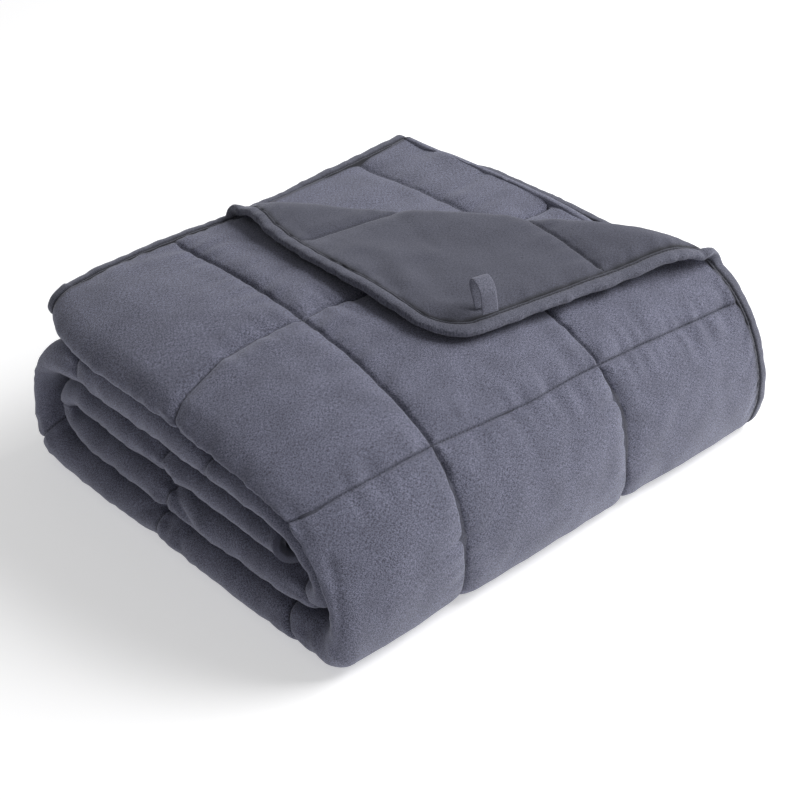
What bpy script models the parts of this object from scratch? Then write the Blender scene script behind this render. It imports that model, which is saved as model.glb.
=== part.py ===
"""Weighted blanket, folded in thirds across and then rolled over flat, one corner turned back.

The quilted sheet is folded twice. Across its width it lies in three layers: an outer layer whose
bound edge shows at the right-hand end (+X), a fold at the left-hand end (X = 0), an under layer,
a fold at the right and an inner layer between the two. This three-layer band then runs in a flat
spiral: top, down the front, along the bottom, up the back, and on inwards, so that five bands lie
on each other. The free corner of the outer layer is turned back over a diagonal on the top.

Frame: +X along the long front side, +Y to the back, +Z up, metres. The front-left bottom corner
is close to the origin of the modelling sizes; the whole is moved at the end so that the middle of
its base stands at (0, 0, 0).
"""

import math

import bmesh
import bpy
import mathutils
import numpy as np

MM = 0.001

# ---- driving sizes of the folded blanket -------------------------------------------------------
SHEET_END = 0.395          # x where the quilted sheet ends and its edge binding begins
FOLD_END = 0.375           # x of the fold between the under layer and the inner layer
INNER_EDGE = 0.030         # x of the inner layer's free edge, hidden in the left-hand fold
TOP_END = 0.300            # y where the outer layer ends on the top band
STAGGER = 0.030            # how much further back the lower layers end at the top's right-hand end
SAG = 0.008                # how much the top sinks towards its back right-hand corner
SAG_FROM = (0.120, 0.050)  # place (x, y) where the sinking begins
SAG_OVER = (0.120, 0.100)  # distance (x, y) over which it grows

SQUARE_ACROSS = 0.1525     # quilted squares, measured along X
SQUARE_ALONG = 0.1465      # quilted squares, measured along the band's course
BINDING_WIDTH = 0.0096
BINDING_THICKNESS = 0.0062
BINDING_FOLD = 0.0040      # how far in X the binding bulges at the right-hand fold
SEAM_GAP = 0.0005          # clearance between the sheet's cut edge and the binding
END_GAP = 0.0010           # the same along the top band's free end
ROLL_GAP = 0.0028          # how much wider it is where the edge goes over the rolled corner
ROLL_GAP_OVER = 0.050      # distance in y over which that fades

SEAM_DEPTH = 0.0040        # how far a quilting seam draws the face in
SEAM_REACH = 0.022         # how far from the seam the face is full again
CROWN_DEPTH = 0.0014       # soft crown of a square between its seams
CROWN_REACH = 0.070

# Layer faces across a band, from 0 at its outer face to 1 at its inner face.
OUTER_LAYER = (0.0, 0.30)
INNER_LAYER = (0.35, 0.65)
UNDER_LAYER = (0.70, 1.0)
DEEPEST_SEAM = 0.17        # a seam draws a face in by no more than this share of the band
EDGE_SEAM = 0.5            # at a bound edge it draws the face in by this much of its depth

LEFT_FOLD = 0.017          # how deep in X the rounded left-hand fold is
LEFT_FOLD_INSIDE = 0.008
RIGHT_FOLD = 0.011

# Heights between the five bands, from the floor up.
BOTTOM_TOP = 28.5
FOURTH_TOP = 54.5
THIRD_TOP = 82.0
SECOND_TOP = 113.0

# The band's course, one row for each section of it, in millimetres: where the outer face and the
# inner face of the band pass in the Y-Z plane, and where its left-hand fold ends in X.
COURSE_COLUMNS = ("section", "outer_y", "outer_z", "inner_y", "inner_z", "left_x")
COURSE = (
    ("top_free_end", 300.0, 144.5, 300.0, 114.4, 6.0),
    ("top_back", 280.0, 147.0, 280.0, 115.4, -1.0),
    ("top_crown", 235.0, 150.0, 235.0, 115.5, -6.0),
    ("top_middle", 180.0, 150.5, 180.0, 115.0, -7.0),
    ("top_fore", 135.0, 146.5, 138.0, 113.5, -6.0),
    ("top_slope", 92.0, 137.0, 99.0, 110.0, -4.0),
    ("top_brow", 53.0, 123.0, 67.0, 103.0, -1.0),
    ("front_shoulder", 26.0, 106.0, 46.0, 91.5, 2.0),
    ("front_high", 7.5, 80.0, 26.0, 75.0, 3.0),
    ("front_middle", -2.5, 50.0, 16.5, 53.0, 4.0),
    ("front_low", -3.0, 22.0, 16.0, 37.0, 3.0),
    ("front_heel", 5.5, 3.2, 25.0, 29.3, 2.0),
    ("bottom_fore", 30.0, 0.0, 48.0, BOTTOM_TOP, 1.0),
    ("bottom_middle", 165.0, 0.0, 165.0, BOTTOM_TOP, 0.0),
    ("bottom_back", 292.0, 0.0, 284.0, BOTTOM_TOP, 0.0),
    ("back_heel", 325.0, 4.0, 304.0, 34.5, 2.0),
    ("back_low", 336.5, 24.0, 311.5, 46.0, 4.0),
    ("back_middle", 333.5, 55.0, 310.5, 61.5, 5.0),
    ("back_high", 319.0, 87.0, 301.0, 76.5, 3.0),
    ("second_back", 288.0, 109.5, 277.0, 84.0, 1.0),
    ("second_crown", 235.0, SECOND_TOP + 0.7, 232.0, 84.3, 0.0),
    ("second_middle", 165.0, SECOND_TOP, 165.0, 84.0, -1.0),
    ("second_fore", 100.0, 107.6, 108.0, 83.5, 0.0),
    ("inner_brow", 69.0, 100.6, 81.0, 82.8, 1.0),
    ("inner_shoulder", 46.5, 88.4, 59.0, 77.0, 4.0),
    ("inner_high", 29.0, 72.5, 45.5, 66.5, 6.0),
    ("inner_low", 18.6, 51.5, 37.0, 57.5, 7.0),
    ("inner_heel", 25.5, 33.0, 44.0, 54.3, 6.0),
    ("fourth_fore", 55.0, BOTTOM_TOP + 1.5, 68.0, FOURTH_TOP, 4.0),
    ("fourth_middle", 165.0, BOTTOM_TOP + 1.5, 165.0, FOURTH_TOP, 2.0),
    ("fourth_back", 262.0, BOTTOM_TOP + 1.5, 254.0, FOURTH_TOP, 4.0),
    ("tuck_heel", 290.0, 33.4, 273.0, 54.7, 7.0),
    ("tuck_low", 304.0, 44.0, 279.5, 55.1, 9.0),
    ("tuck_middle", 308.0, 56.5, 282.0, 55.9, 9.0),
    ("tuck_high", 302.0, 69.5, 279.5, 56.8, 8.0),
    ("tuck_brow", 287.0, 78.6, 273.0, 57.2, 7.0),
    ("third_back", 260.0, THIRD_TOP, 256.0, 57.4, 5.0),
    ("third_middle", 165.0, THIRD_TOP, 165.0, 57.4, 3.0),
    ("third_free_end", 66.0, 76.5, 51.0, 57.8, 4.0),
)

# ---- the corner turned back -------------------------------------------------------------------
TURN_START = (0.145, 0.310)     # where the diagonal meets the top's back edge, binding included
TURN_END = (0.405, 0.035)       # where it meets the right-hand edge, binding included
TURN_RADIUS = 0.0070            # radius of the rolled ridge, at the layer's middle
FLAP_LIFT = 0.0116              # middle of the flap above the middle of the layer it lies on
FLAP_SETTLE = 0.045             # distance over which the ridge sinks to that height
FLAP_HALF_THICKNESS = 0.0045
FLAP_ROOT = 0.0037              # half thickness where the flap leaves the layer
CORNER_RADIUS = 0.036           # rounded corner of the blanket, at the binding's outer side
FLAP_STEPS = 13                 # points from the ridge to the bound edge

# ---- the tie loop -----------------------------------------------------------------------------
LOOP_RIBBON = 0.0096            # ribbon width
LOOP_THICKNESS = 0.0012
LOOP_HEIGHT = 0.030
LOOP_FOOT = 0.0042              # half the distance between its two feet
LOOP_BELLY = 0.0064             # half its width where it is widest
LOOP_SPOT = (0.3925, 0.264)     # where it is sewn, on the unfolded corner (x, y)
LOOP_SEAT = 0.0016              # clearance over the flap
LOOP_TURN = math.radians(78.0)  # turn of the loop about the vertical
LOOP_LEAN = 0.20                # lean to the left, metres per metre of height

BAND_COLOUR = (0.155, 0.158, 0.205, 1.0)
BINDING_COLOUR = (0.120, 0.122, 0.162, 1.0)
LOOP_COLOUR = (0.130, 0.132, 0.172, 1.0)


# ---- curves through the course table -----------------------------------------------------------
def course_column(name):
    """One column of the course table as an array, in metres."""
    place = COURSE_COLUMNS.index(name)
    return np.array([row[place] for row in COURSE]) * MM


def smooth_through(values, where):
    """Catmull-Rom curve through evenly numbered values, read at the row numbers in where."""
    values = np.asarray(values, float)
    where = np.clip(np.asarray(where, float), 0.0, len(values) - 1.0)
    base = np.minimum(where.astype(int), len(values) - 2)
    part = where - base
    before = values[np.maximum(base - 1, 0)]
    first, second = values[base], values[base + 1]
    after = values[np.minimum(base + 2, len(values) - 1)]
    slope_first = 0.5 * (second - before)
    slope_second = 0.5 * (after - first)
    square, cube = part ** 2, part ** 3
    return ((2 * cube - 3 * square + 1) * first + (cube - 2 * square + part) * slope_first
            + (3 * square - 2 * cube) * second + (cube - square) * slope_second)


def smooth_step(value):
    """0 below 0, 1 above 1, and a soft rise between."""
    value = np.clip(value, 0.0, 1.0)
    return value * value * (3.0 - 2.0 * value)


class Band:
    """The three-layer band's course: its two faces, its thickness and its length."""

    FINE = 40                   # readings between two rows of the table

    def __init__(self):
        self.columns = {name: course_column(name) for name in COURSE_COLUMNS[1:]}
        self.rows = np.linspace(0.0, len(COURSE) - 1.0, (len(COURSE) - 1) * self.FINE + 1)
        outer_y = smooth_through(self.columns["outer_y"], self.rows)
        outer_z = smooth_through(self.columns["outer_z"], self.rows)
        steps = np.hypot(np.diff(outer_y), np.diff(outer_z))
        self.along = np.concatenate([[0.0], np.cumsum(steps)]) + BINDING_WIDTH
        self.length = self.along[-1]
        self.outer_y, self.outer_z = outer_y, outer_z

    def row_at(self, along):
        """Row number of the place that lies this far along the outer face."""
        return np.interp(along, self.along, self.rows)

    def row_of_section(self, name):
        """Row number of a named section."""
        return [row[0] for row in COURSE].index(name)

    def ends(self, row):
        """Outer point, inner point (each y, z) and left-hand end of the band at a row number."""
        read = {name: float(smooth_through(values, row)) for name, values in self.columns.items()}
        outer = np.array([read["outer_y"], max(read["outer_z"], 0.0)])
        inner = np.array([read["inner_y"], read["inner_z"]])
        return outer, inner, read["left_x"]

    def layer_height(self, y, across):
        """Height of the top band's layer, given by its share across the band, at a place y."""
        top = self.rows <= self.row_of_section("front_shoulder") + 0.5
        rows = self.rows[top]
        inner_y = smooth_through(self.columns["inner_y"], rows)
        inner_z = smooth_through(self.columns["inner_z"], rows)
        layer_y = self.outer_y[top] + (inner_y - self.outer_y[top]) * across
        layer_z = self.outer_z[top] + (inner_z - self.outer_z[top]) * across
        return np.interp(y, layer_y[::-1], layer_z[::-1])


def sag(x, y):
    """How far the top band has sunk at a place, towards the back right-hand corner."""
    across = smooth_step((x - SAG_FROM[0]) / SAG_OVER[0])
    back = smooth_step((y - SAG_FROM[1]) / SAG_OVER[1])
    return SAG * float(across * back)


def stagger(x):
    """How much further back a lower layer of the top band ends at x: it grows as x squared."""
    return STAGGER * (x / FOLD_END) ** 2


def top_height(band, x, y, across):
    """Height of a layer of the top band at a place, its sinking included."""
    return float(band.layer_height(y, across)) - sag(x, y) * (1.0 - across)


# ---- quilting ----------------------------------------------------------------------------------
def distance_to_lines(value, first, pitch):
    """Distance from a value to the nearest of the lines first, first + pitch, ..."""
    return abs((value - first + pitch / 2.0) % pitch - pitch / 2.0)


def drawn_in(x, along, crowned=True):
    """How far quilting draws a face in: a groove along each seam and a soft crown between."""
    across = distance_to_lines(x, SHEET_END + BINDING_WIDTH, SQUARE_ACROSS)
    lengthwise = distance_to_lines(along, 0.0, SQUARE_ALONG)
    if x > SHEET_END - SQUARE_ACROSS / 2.0:
        across = abs(x - (SHEET_END + BINDING_WIDTH - SQUARE_ACROSS))
    if along < SQUARE_ALONG / 2.0:
        lengthwise = abs(along - SQUARE_ALONG)
    nearest = min(across, lengthwise)
    groove = 1.0 - smooth_step((nearest / SEAM_REACH) ** 0.7)
    crown = 1.0 - smooth_step(nearest / CROWN_REACH)
    return SEAM_DEPTH * float(groove) + (CROWN_DEPTH * float(crown) if crowned else 0.0)


# ---- the turned corner --------------------------------------------------------------------------
TURN_LENGTH = math.dist(TURN_START, TURN_END)
TURN_ALONG = ((TURN_END[0] - TURN_START[0]) / TURN_LENGTH, (TURN_END[1] - TURN_START[1]) / TURN_LENGTH)
TURN_OUT = (-TURN_ALONG[1], TURN_ALONG[0])
OUTER_MIDDLE = sum(OUTER_LAYER) / 2.0
INNER_MIDDLE = sum(INNER_LAYER) / 2.0
UNDER_MIDDLE = sum(UNDER_LAYER) / 2.0


def past_turn(x, y):
    """Distance of a place on the unfolded outer layer past the diagonal, towards its corner."""
    return (x - TURN_START[0]) * TURN_OUT[0] + (y - TURN_START[1]) * TURN_OUT[1]


def turned_place(band, x, y, offset):
    """Place in space of a point past the diagonal, offset from the layer's middle.

    The layer rolls over the diagonal as half a circle, then lies back on the top and sinks
    from the height of the roll to the flap's own height. A positive offset is to the reverse
    side, which faces up once the corner is turned.
    """
    past = past_turn(x, y)
    foot = (x - TURN_OUT[0] * past, y - TURN_OUT[1] * past)
    half_round = math.pi * TURN_RADIUS
    if past < half_round:
        angle = past / TURN_RADIUS
        reach = TURN_RADIUS * math.sin(angle) + offset * math.sin(angle)
        lift = TURN_RADIUS * (1.0 - math.cos(angle)) - offset * math.cos(angle)
    else:
        flat = past - half_round
        reach = -flat
        sink = float(smooth_step(flat / FLAP_SETTLE))
        lift = 2.0 * TURN_RADIUS * (1.0 - sink) + FLAP_LIFT * sink + offset
    place_x = foot[0] + TURN_OUT[0] * reach
    place_y = foot[1] + TURN_OUT[1] * reach
    return (place_x, place_y, top_height(band, place_x, place_y, OUTER_MIDDLE) + lift)


def edge_distance(x, y, inset):
    """Distance from a place on the diagonal, square to it, to the blanket's edge less inset.

    The outline is the right-hand edge, the back edge and the round corner between them.
    """
    end_x = SHEET_END + BINDING_WIDTH - inset
    end_y = TOP_END + BINDING_WIDTH - inset
    radius = CORNER_RADIUS - inset
    reach = min((end_x - x) / TURN_OUT[0], (end_y - y) / TURN_OUT[1])
    centre = (end_x - radius, end_y - radius)
    tip = (x + TURN_OUT[0] * reach, y + TURN_OUT[1] * reach)
    if tip[0] > centre[0] and tip[1] > centre[1]:
        gap_x, gap_y = x - centre[0], y - centre[1]
        half = gap_x * TURN_OUT[0] + gap_y * TURN_OUT[1]
        reach = -half + math.sqrt(half * half - (gap_x ** 2 + gap_y ** 2 - radius ** 2))
    return max(reach, 0.0)


def turn_x(y):
    """X where the diagonal passes at a place y."""
    share = (TURN_START[1] - y) / (TURN_START[1] - TURN_END[1])
    return TURN_START[0] + share * (TURN_END[0] - TURN_START[0])


# ---- one section of the folded sheet -------------------------------------------------------------
SEAM_B = SHEET_END + BINDING_WIDTH - SQUARE_ACROSS
SEAM_A = SEAM_B - SQUARE_ACROSS
INNER_SEAM = 0.335
OUTER_FACE_X = (SHEET_END, 0.335, SEAM_B + SEAM_REACH, SEAM_B, SEAM_B - SEAM_REACH,
                SEAM_A + SEAM_REACH, SEAM_A, SEAM_A - SEAM_REACH, 0.050)
UNDER_FACE_X = (0.060, 0.130, 0.200, 0.260, 0.320)
INNER_TOP_X = (INNER_SEAM + SEAM_REACH, INNER_SEAM, INNER_SEAM - SEAM_REACH, 0.250, 0.150, 0.060)
HIDDEN_X = (0.100, 0.190, 0.260, 0.320)
OUTER_BACK_X = (0.050, 0.130, 0.200, SEAM_B, 0.325)


def fit_to_edge(values, sheet_edge):
    """Squeeze the x values of a face to where the layer ends at this section."""
    if sheet_edge >= SHEET_END:
        return list(values)
    start = SEAM_B + SEAM_REACH if sheet_edge > SEAM_B + 2.0 * SEAM_REACH else SEAM_A
    share = (sheet_edge - start) / (SHEET_END - start)
    return [x if x <= start else start + (x - start) * share for x in values]


def section_points(band, row, along):
    """Outline of the folded sheet at one place of its course, as (point, name) in order."""
    outer, inner, left = band.ends(row)
    across = inner - outer
    thickness = float(np.hypot(*across))
    bottom = band.row_of_section("front_heel") < row < band.row_of_section("back_heel")
    middle_y = outer[0] + across[0] * OUTER_MIDDLE
    top_band = row <= band.row_of_section("front_shoulder")
    turned = top_band and TURN_END[1] + 0.004 < middle_y
    sheet_edge = min(SHEET_END, turn_x(middle_y)) if turned else SHEET_END
    end_share = 1.0 - float(smooth_step((along - BINDING_WIDTH) / 0.07))
    points = []

    def put(x, share, lower=0.0, inward=0.0):
        """Add a point at x, share across the band, moved inward (metres) and back at the end."""
        share += float(np.clip(inward / thickness, -DEEPEST_SEAM, DEEPEST_SEAM))
        y, z = (float(value) for value in outer + across * share)
        if top_band:
            y += stagger(x) * end_share * lower
            z = top_height(band, x, y, share)
        points.append((x, y, z))

    for number, x in enumerate(fit_to_edge(OUTER_FACE_X, sheet_edge)):
        held = 1.0 if number else EDGE_SEAM
        put(x, OUTER_LAYER[0], 0.0, held * drawn_in(x, along, not bottom))
    for step in range(6):
        angle = math.pi * step / 5.0
        share = 0.5 - 0.5 * math.cos(angle)
        pinch = drawn_in(SHEET_END - 0.5 * SQUARE_ACROSS, along, not bottom)
        depth = LEFT_FOLD * (1.0 - math.sin(angle)) + pinch * math.sin(angle)
        put(left + depth, share, float(smooth_step(share)), pinch * math.cos(angle) ** 3)
    for x in UNDER_FACE_X:
        put(x, UNDER_LAYER[1], 1.0)
    middle = (INNER_LAYER[0] + UNDER_LAYER[1]) / 2.0
    half = (UNDER_LAYER[1] - INNER_LAYER[0]) / 2.0
    for step in range(4):
        angle = math.pi * step / 3.0
        put(FOLD_END - RIGHT_FOLD * (1.0 - math.sin(angle)), middle + half * math.cos(angle), 1.0)
    inner_along = along - BINDING_WIDTH
    for x in INNER_TOP_X:
        put(x, INNER_LAYER[0], 1.0, drawn_in(x + SEAM_B - INNER_SEAM, inner_along, not bottom) * 0.8)
    put(INNER_EDGE + 0.003, INNER_LAYER[0], 1.0)
    put(INNER_EDGE, INNER_MIDDLE, 1.0)
    put(INNER_EDGE + 0.003, INNER_LAYER[1], 1.0)
    for x in HIDDEN_X:
        put(x, INNER_LAYER[1], 1.0)
    put(FOLD_END - RIGHT_FOLD, (INNER_LAYER[1] + UNDER_LAYER[0]) / 2.0, 1.0)
    for x in reversed(HIDDEN_X):
        put(x, UNDER_LAYER[0], 1.0)
    for step in range(4):
        angle = math.pi * step / 3.0
        depth = LEFT_FOLD - (LEFT_FOLD - LEFT_FOLD_INSIDE) * math.sin(angle)
        share = 0.5 + (UNDER_LAYER[0] - 0.5) * math.cos(angle)
        put(left + depth, share, float(smooth_step(share)))
    for x in fit_to_edge(OUTER_BACK_X, sheet_edge):
        put(x, OUTER_LAYER[1])
    points.extend(edge_or_flap(band, put, points, sheet_edge, middle_y, turned))
    return points


def edge_or_flap(band, put, points, sheet_edge, middle_y, turned):
    """Points from the outer layer's reverse round its edge, or over the turned corner.

    Every section has the same number of them. Where the corner isn't turned they all lie on
    the layer's edge and are merged afterwards.
    """
    put(sheet_edge, OUTER_LAYER[1])
    back = points.pop()
    put(sheet_edge, OUTER_MIDDLE)
    edge = points.pop()
    reach = edge_distance(sheet_edge, middle_y, BINDING_WIDTH) if turned and sheet_edge < SHEET_END else 0.0
    if reach < 2.0 * SEAM_GAP:
        return [back] + [edge] * (2 * FLAP_STEPS)
    reverse, face = [], []
    half_round = math.pi * TURN_RADIUS
    for step in range(1, FLAP_STEPS + 1):
        share = step / FLAP_STEPS
        past = reach * share ** (1.25 if reach > half_round else 1.0)
        x = sheet_edge + TURN_OUT[0] * past
        y = middle_y + TURN_OUT[1] * past
        pinch = drawn_in(x, TOP_END + BINDING_WIDTH - y)
        half = FLAP_ROOT + (FLAP_HALF_THICKNESS - FLAP_ROOT) * float(smooth_step(past / FLAP_SETTLE))
        half -= 0.45 * pinch
        reverse.append(turned_place(band, x, y, half))
        face.append(turned_place(band, x, y, -half))
    return [back] + reverse + face[::-1]


# Least distance between two stations, by how much a station matters, and the fine step over
# the ridge of the turned corner.
NEAREST_STATIONS = {-1: 0.0020, 0: 0.0024, 1: 0.0050, 2: 0.0075, 3: 0.0075, 4: 0.0085}
RIDGE_STEP = 0.0040


def turned_edge_places(back, front):
    """Places y where the layer's two edges pass over the ridge, in fine steps."""
    steps = np.arange(1, 7) * RIDGE_STEP
    return [back - step for step in steps] + [front + step for step in steps - RIDGE_STEP]


# ---- meshes --------------------------------------------------------------------------------------
def station_list(band):
    """Places along the band where it has a section: at seams, beside them, and in the bends."""
    marks = {}
    for number in range(1, int(band.length / SQUARE_ALONG) + 1):
        seam = number * SQUARE_ALONG
        for step in (-SEAM_REACH, 0.0, SEAM_REACH):
            marks[round(seam + step, 6)] = step == 0.0
    wanted = [(place, 0 if seam else 1) for place, seam in marks.items()]
    for name in (row[0] for row in COURSE):
        wanted.append((float(np.interp(band.row_of_section(name), band.rows, band.along)), 2))
    for first, last in (("top_brow", "bottom_fore"), ("back_heel", "second_back"),
                        ("second_fore", "fourth_fore"), ("fourth_back", "third_back")):
        for row in np.arange(band.row_of_section(first) + 0.5, band.row_of_section(last), 1.0):
            wanted.append((float(np.interp(row, band.rows, band.along)), 3))
    for place in np.arange(0.025, 0.30, 0.0135):
        wanted.append((float(place), 4))
    top = band.rows <= band.row_of_section("front_shoulder")
    wanted.extend((float(np.interp(-y, -band.outer_y[top], band.along[top])), -1)
                  for y in turned_edge_places(TOP_END, TURN_END[1] + BINDING_WIDTH))
    kept = [BINDING_WIDTH, band.length]
    for place, rank in sorted(wanted, key=lambda item: item[1]):
        near = min(abs(place - other) for other in kept)
        if BINDING_WIDTH < place < band.length and near > NEAREST_STATIONS[rank]:
            kept.append(place)
    return sorted(kept)


def new_object(name, mesh_data, material):
    """A scene object from a bmesh, its caps in even triangles, facing out and shaded smooth."""
    bmesh.ops.remove_doubles(mesh_data, verts=mesh_data.verts, dist=0.00002)
    caps = [face for face in mesh_data.faces if len(face.verts) > 4]
    bmesh.ops.triangulate(mesh_data, faces=caps, ngon_method="BEAUTY")
    bmesh.ops.recalc_face_normals(mesh_data, faces=mesh_data.faces)
    mesh = bpy.data.meshes.new(name)
    mesh_data.to_mesh(mesh)
    mesh_data.free()
    mesh.shade_smooth()
    mesh.set_sharp_from_angle(angle=math.radians(50.0))
    mesh.materials.append(material)
    piece = bpy.data.objects.new(name, mesh)
    bpy.context.scene.collection.objects.link(piece)
    return piece


def tube_of_sections(sections):
    """Closed bmesh through a row of closed outlines, with a flat cap on each end."""
    mesh_data = bmesh.new()
    rings = [[mesh_data.verts.new(point) for point in section] for section in sections]
    for ring, following in zip(rings, rings[1:]):
        count = len(ring)
        for number in range(count):
            after = (number + 1) % count
            mesh_data.faces.new((ring[number], ring[after], following[after], following[number]))
    mesh_data.faces.new(rings[0][::-1])
    mesh_data.faces.new(rings[-1])
    return mesh_data


def quilted_body(band, material):
    """The quilted sheet, folded in thirds, spiralled flat, one corner turned back."""
    stations = station_list(band)
    sections = [section_points(band, float(band.row_at(place)), place) for place in stations]
    return new_object("quilted_body", tube_of_sections(sections), material)


def binding_section(near):
    """Outline of the binding: (outward from the cut edge, offset through the cloth)."""
    far = BINDING_WIDTH
    half, soft = BINDING_THICKNESS / 2.0, 0.0028
    return ((near, -half), (far - soft, -half), (far, -0.45 * half),
            (far, 0.45 * half), (far - soft, half), (near, half))


def binding_along_band(band):
    """Sections on the outer layer's right-hand edge, then round the edge of the turned corner."""
    sections = []
    for place in reversed(station_list(band)):
        row = float(band.row_at(place))
        outer, inner, _ = band.ends(row)
        across = inner - outer
        middle = outer + across * OUTER_MIDDLE
        fade = smooth_step(abs(middle[0] - TURN_END[1] - BINDING_WIDTH) / ROLL_GAP_OVER)
        on_top = row <= band.row_of_section("front_shoulder") + 1
        near = SEAM_GAP + (ROLL_GAP * (1.0 - float(fade)) if on_top else 0.0)
        section = []
        if edge_is_turned(band, row, middle[0]):
            sheet_edge = min(SHEET_END, turn_x(middle[0]))
            reach = edge_distance(sheet_edge, middle[0], BINDING_WIDTH)
            x = sheet_edge + TURN_OUT[0] * reach
            y = middle[0] + TURN_OUT[1] * reach
            out_x, out_y = edge_direction(x, y)
            for outward, offset in binding_section(near):
                section.append(place_on_outer(band, x + out_x * outward, y + out_y * outward, offset))
        else:
            for outward, offset in binding_section(near):
                spot = middle + across * (offset / float(np.hypot(*across)))
                section.append((SHEET_END + outward, float(spot[0]), float(spot[1])))
        sections.append(section)
    return sections


def edge_is_turned(band, row, middle_y):
    """Whether the outer layer's edge is over the diagonal at this section."""
    return row <= band.row_of_section("front_shoulder") and turn_x(middle_y) < SHEET_END


def edge_direction(x, y):
    """Direction outward from the blanket's edge at a place on it."""
    radius = CORNER_RADIUS - BINDING_WIDTH
    gap_x = max(0.0, x - (SHEET_END - radius))
    gap_y = max(0.0, y - (TOP_END - radius))
    size = math.hypot(gap_x, gap_y)
    return (gap_x / size, gap_y / size)


def place_on_outer(band, x, y, offset):
    """Place of a point of the outer layer by its unfolded x and y, turned or not."""
    if past_turn(x, y) > 0.0:
        return turned_place(band, x, y, offset)
    return (x, y, top_height(band, x, y, OUTER_MIDDLE) - offset)


def binding_across_end(band):
    """Sections along the top band's free end: outer layer, left fold, under and inner layers."""
    outer, inner, left = band.ends(0.0)
    thickness = outer[1] - inner[1]
    line = [(x, OUTER_MIDDLE, 0.0) for x in (0.120, 0.100, 0.080, 0.060, 0.040)]
    for step in range(9):
        angle = math.pi * step / 8.0
        depth = LEFT_FOLD - (LEFT_FOLD - LEFT_FOLD_INSIDE / 2.0) * math.sin(angle)
        half = (UNDER_MIDDLE - OUTER_MIDDLE) / 2.0
        share = OUTER_MIDDLE + half - half * math.cos(angle)
        line.append((left + depth, share, float(smooth_step(share))))
    line += [(x, UNDER_MIDDLE, 1.0) for x in UNDER_FACE_X + (0.345,)]
    for step in range(7):
        angle = math.pi * step / 6.0
        half = (UNDER_MIDDLE - INNER_MIDDLE) / 2.0
        x = FOLD_END - RIGHT_FOLD + BINDING_FOLD * math.sin(angle)
        line.append((x, INNER_MIDDLE + half + half * math.cos(angle), 1.0))
    line += [(x, INNER_MIDDLE, 1.0) for x in (0.345,) + UNDER_FACE_X[::-1]]
    spots = np.array([(x, outer[1] - share * thickness - sag(x, TOP_END) * (1.0 - share))
                      for x, share, _ in line])
    ahead = np.gradient(spots, axis=0)
    ahead /= np.linalg.norm(ahead, axis=1)[:, None]
    reverse = np.stack([-ahead[:, 1], ahead[:, 0]], axis=1)
    sections = []
    for spot, side, (x, _, lower) in zip(spots, reverse, line):
        section = []
        for outward, offset in binding_section(END_GAP):
            place = spot + side * offset
            back = TOP_END + outward + stagger(x) * lower
            section.append((float(place[0]), float(back), float(place[1])))
        sections.append(section)
    return sections


def edge_binding(band, material):
    """One strip of binding round every edge of the blanket that can be seen."""
    sections = binding_along_band(band) + binding_across_end(band)
    return new_object("edge_binding", tube_of_sections(sections), material)


def tie_loop(band, material):
    """Ribbon loop sewn to the reverse beside the corner, standing up from the turned flap."""
    foot = turned_place(band, LOOP_SPOT[0], LOOP_SPOT[1], FLAP_HALF_THICKNESS + LOOP_SEAT)
    half = LOOP_THICKNESS / 2.0
    centre = [(-LOOP_FOOT, half), (-LOOP_FOOT, 0.004)]
    for step in range(13):
        angle = math.pi * step / 12.0
        rise = LOOP_HEIGHT - half - 0.010 + 0.010 * math.sin(angle)
        centre.append((-LOOP_BELLY * math.cos(angle), rise))
    centre += [(LOOP_FOOT, 0.004), (LOOP_FOOT, half)]
    centre = np.array(centre)
    ahead = np.gradient(centre, axis=0)
    ahead /= np.linalg.norm(ahead, axis=1)[:, None]
    side = np.stack([-ahead[:, 1], ahead[:, 0]], axis=1)
    along = (math.cos(LOOP_TURN), math.sin(LOOP_TURN))
    through = (-math.sin(LOOP_TURN), math.cos(LOOP_TURN))
    sections = []
    for spot, normal in zip(centre, side):
        section = []
        for offset, width in ((-half, -1), (half, -1), (half, 1), (-half, 1)):
            flat = spot + normal * offset
            across = LOOP_RIBBON / 2.0 * width + LOOP_LEAN * flat[1]
            x = foot[0] + along[0] * flat[0] + through[0] * across
            y = foot[1] + along[1] * flat[0] + through[1] * across
            section.append((x, y, foot[2] + flat[1]))
        sections.append(section)
    return new_object("tie_loop", tube_of_sections(sections), material)


def plain_material(name, colour, roughness):
    """Principled material of one colour."""
    material = bpy.data.materials.new(name)
    material.use_nodes = True
    shader = material.node_tree.nodes["Principled BSDF"]
    shader.inputs["Base Color"].default_value = colour
    shader.inputs["Roughness"].default_value = roughness
    shader.inputs["Metallic"].default_value = 0.0
    material.diffuse_color = colour
    return material


def stand_on_origin():
    """Move everything so that the middle of the base of its bounding box is at (0, 0, 0)."""
    pieces = list(bpy.context.scene.collection.objects)
    points = np.concatenate([[vertex.co[:] for vertex in piece.data.vertices] for piece in pieces])
    low, high = points.min(axis=0), points.max(axis=0)
    middle = (low + high) / 2.0
    move = mathutils.Matrix.Translation((-middle[0], -middle[1], -low[2]))
    for piece in pieces:
        piece.data.transform(move)


def build():
    """Make every piece of the folded blanket."""
    for old in list(bpy.data.objects):
        bpy.data.objects.remove(old, do_unlink=True)
    band = Band()
    cloth = plain_material("quilted_cloth", BAND_COLOUR, 0.90)
    quilted_body(band, cloth)
    edge_binding(band, plain_material("binding_cloth", BINDING_COLOUR, 0.86))
    tie_loop(band, plain_material("loop_ribbon", LOOP_COLOUR, 0.84))
    stand_on_origin()


build()
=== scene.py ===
"""Looks of a folded weighted blanket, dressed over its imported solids.

The quilted sheet, its edge binding, the sewing and the tie loop are surfaces worked out with
numpy: a grid of two parameters, how far along the folded band a place lies and how far round
the band's outline. Lengths are in metres. The modelling sizes have their origin near the
pile's front left bottom corner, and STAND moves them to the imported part's own origin.
"""

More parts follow.
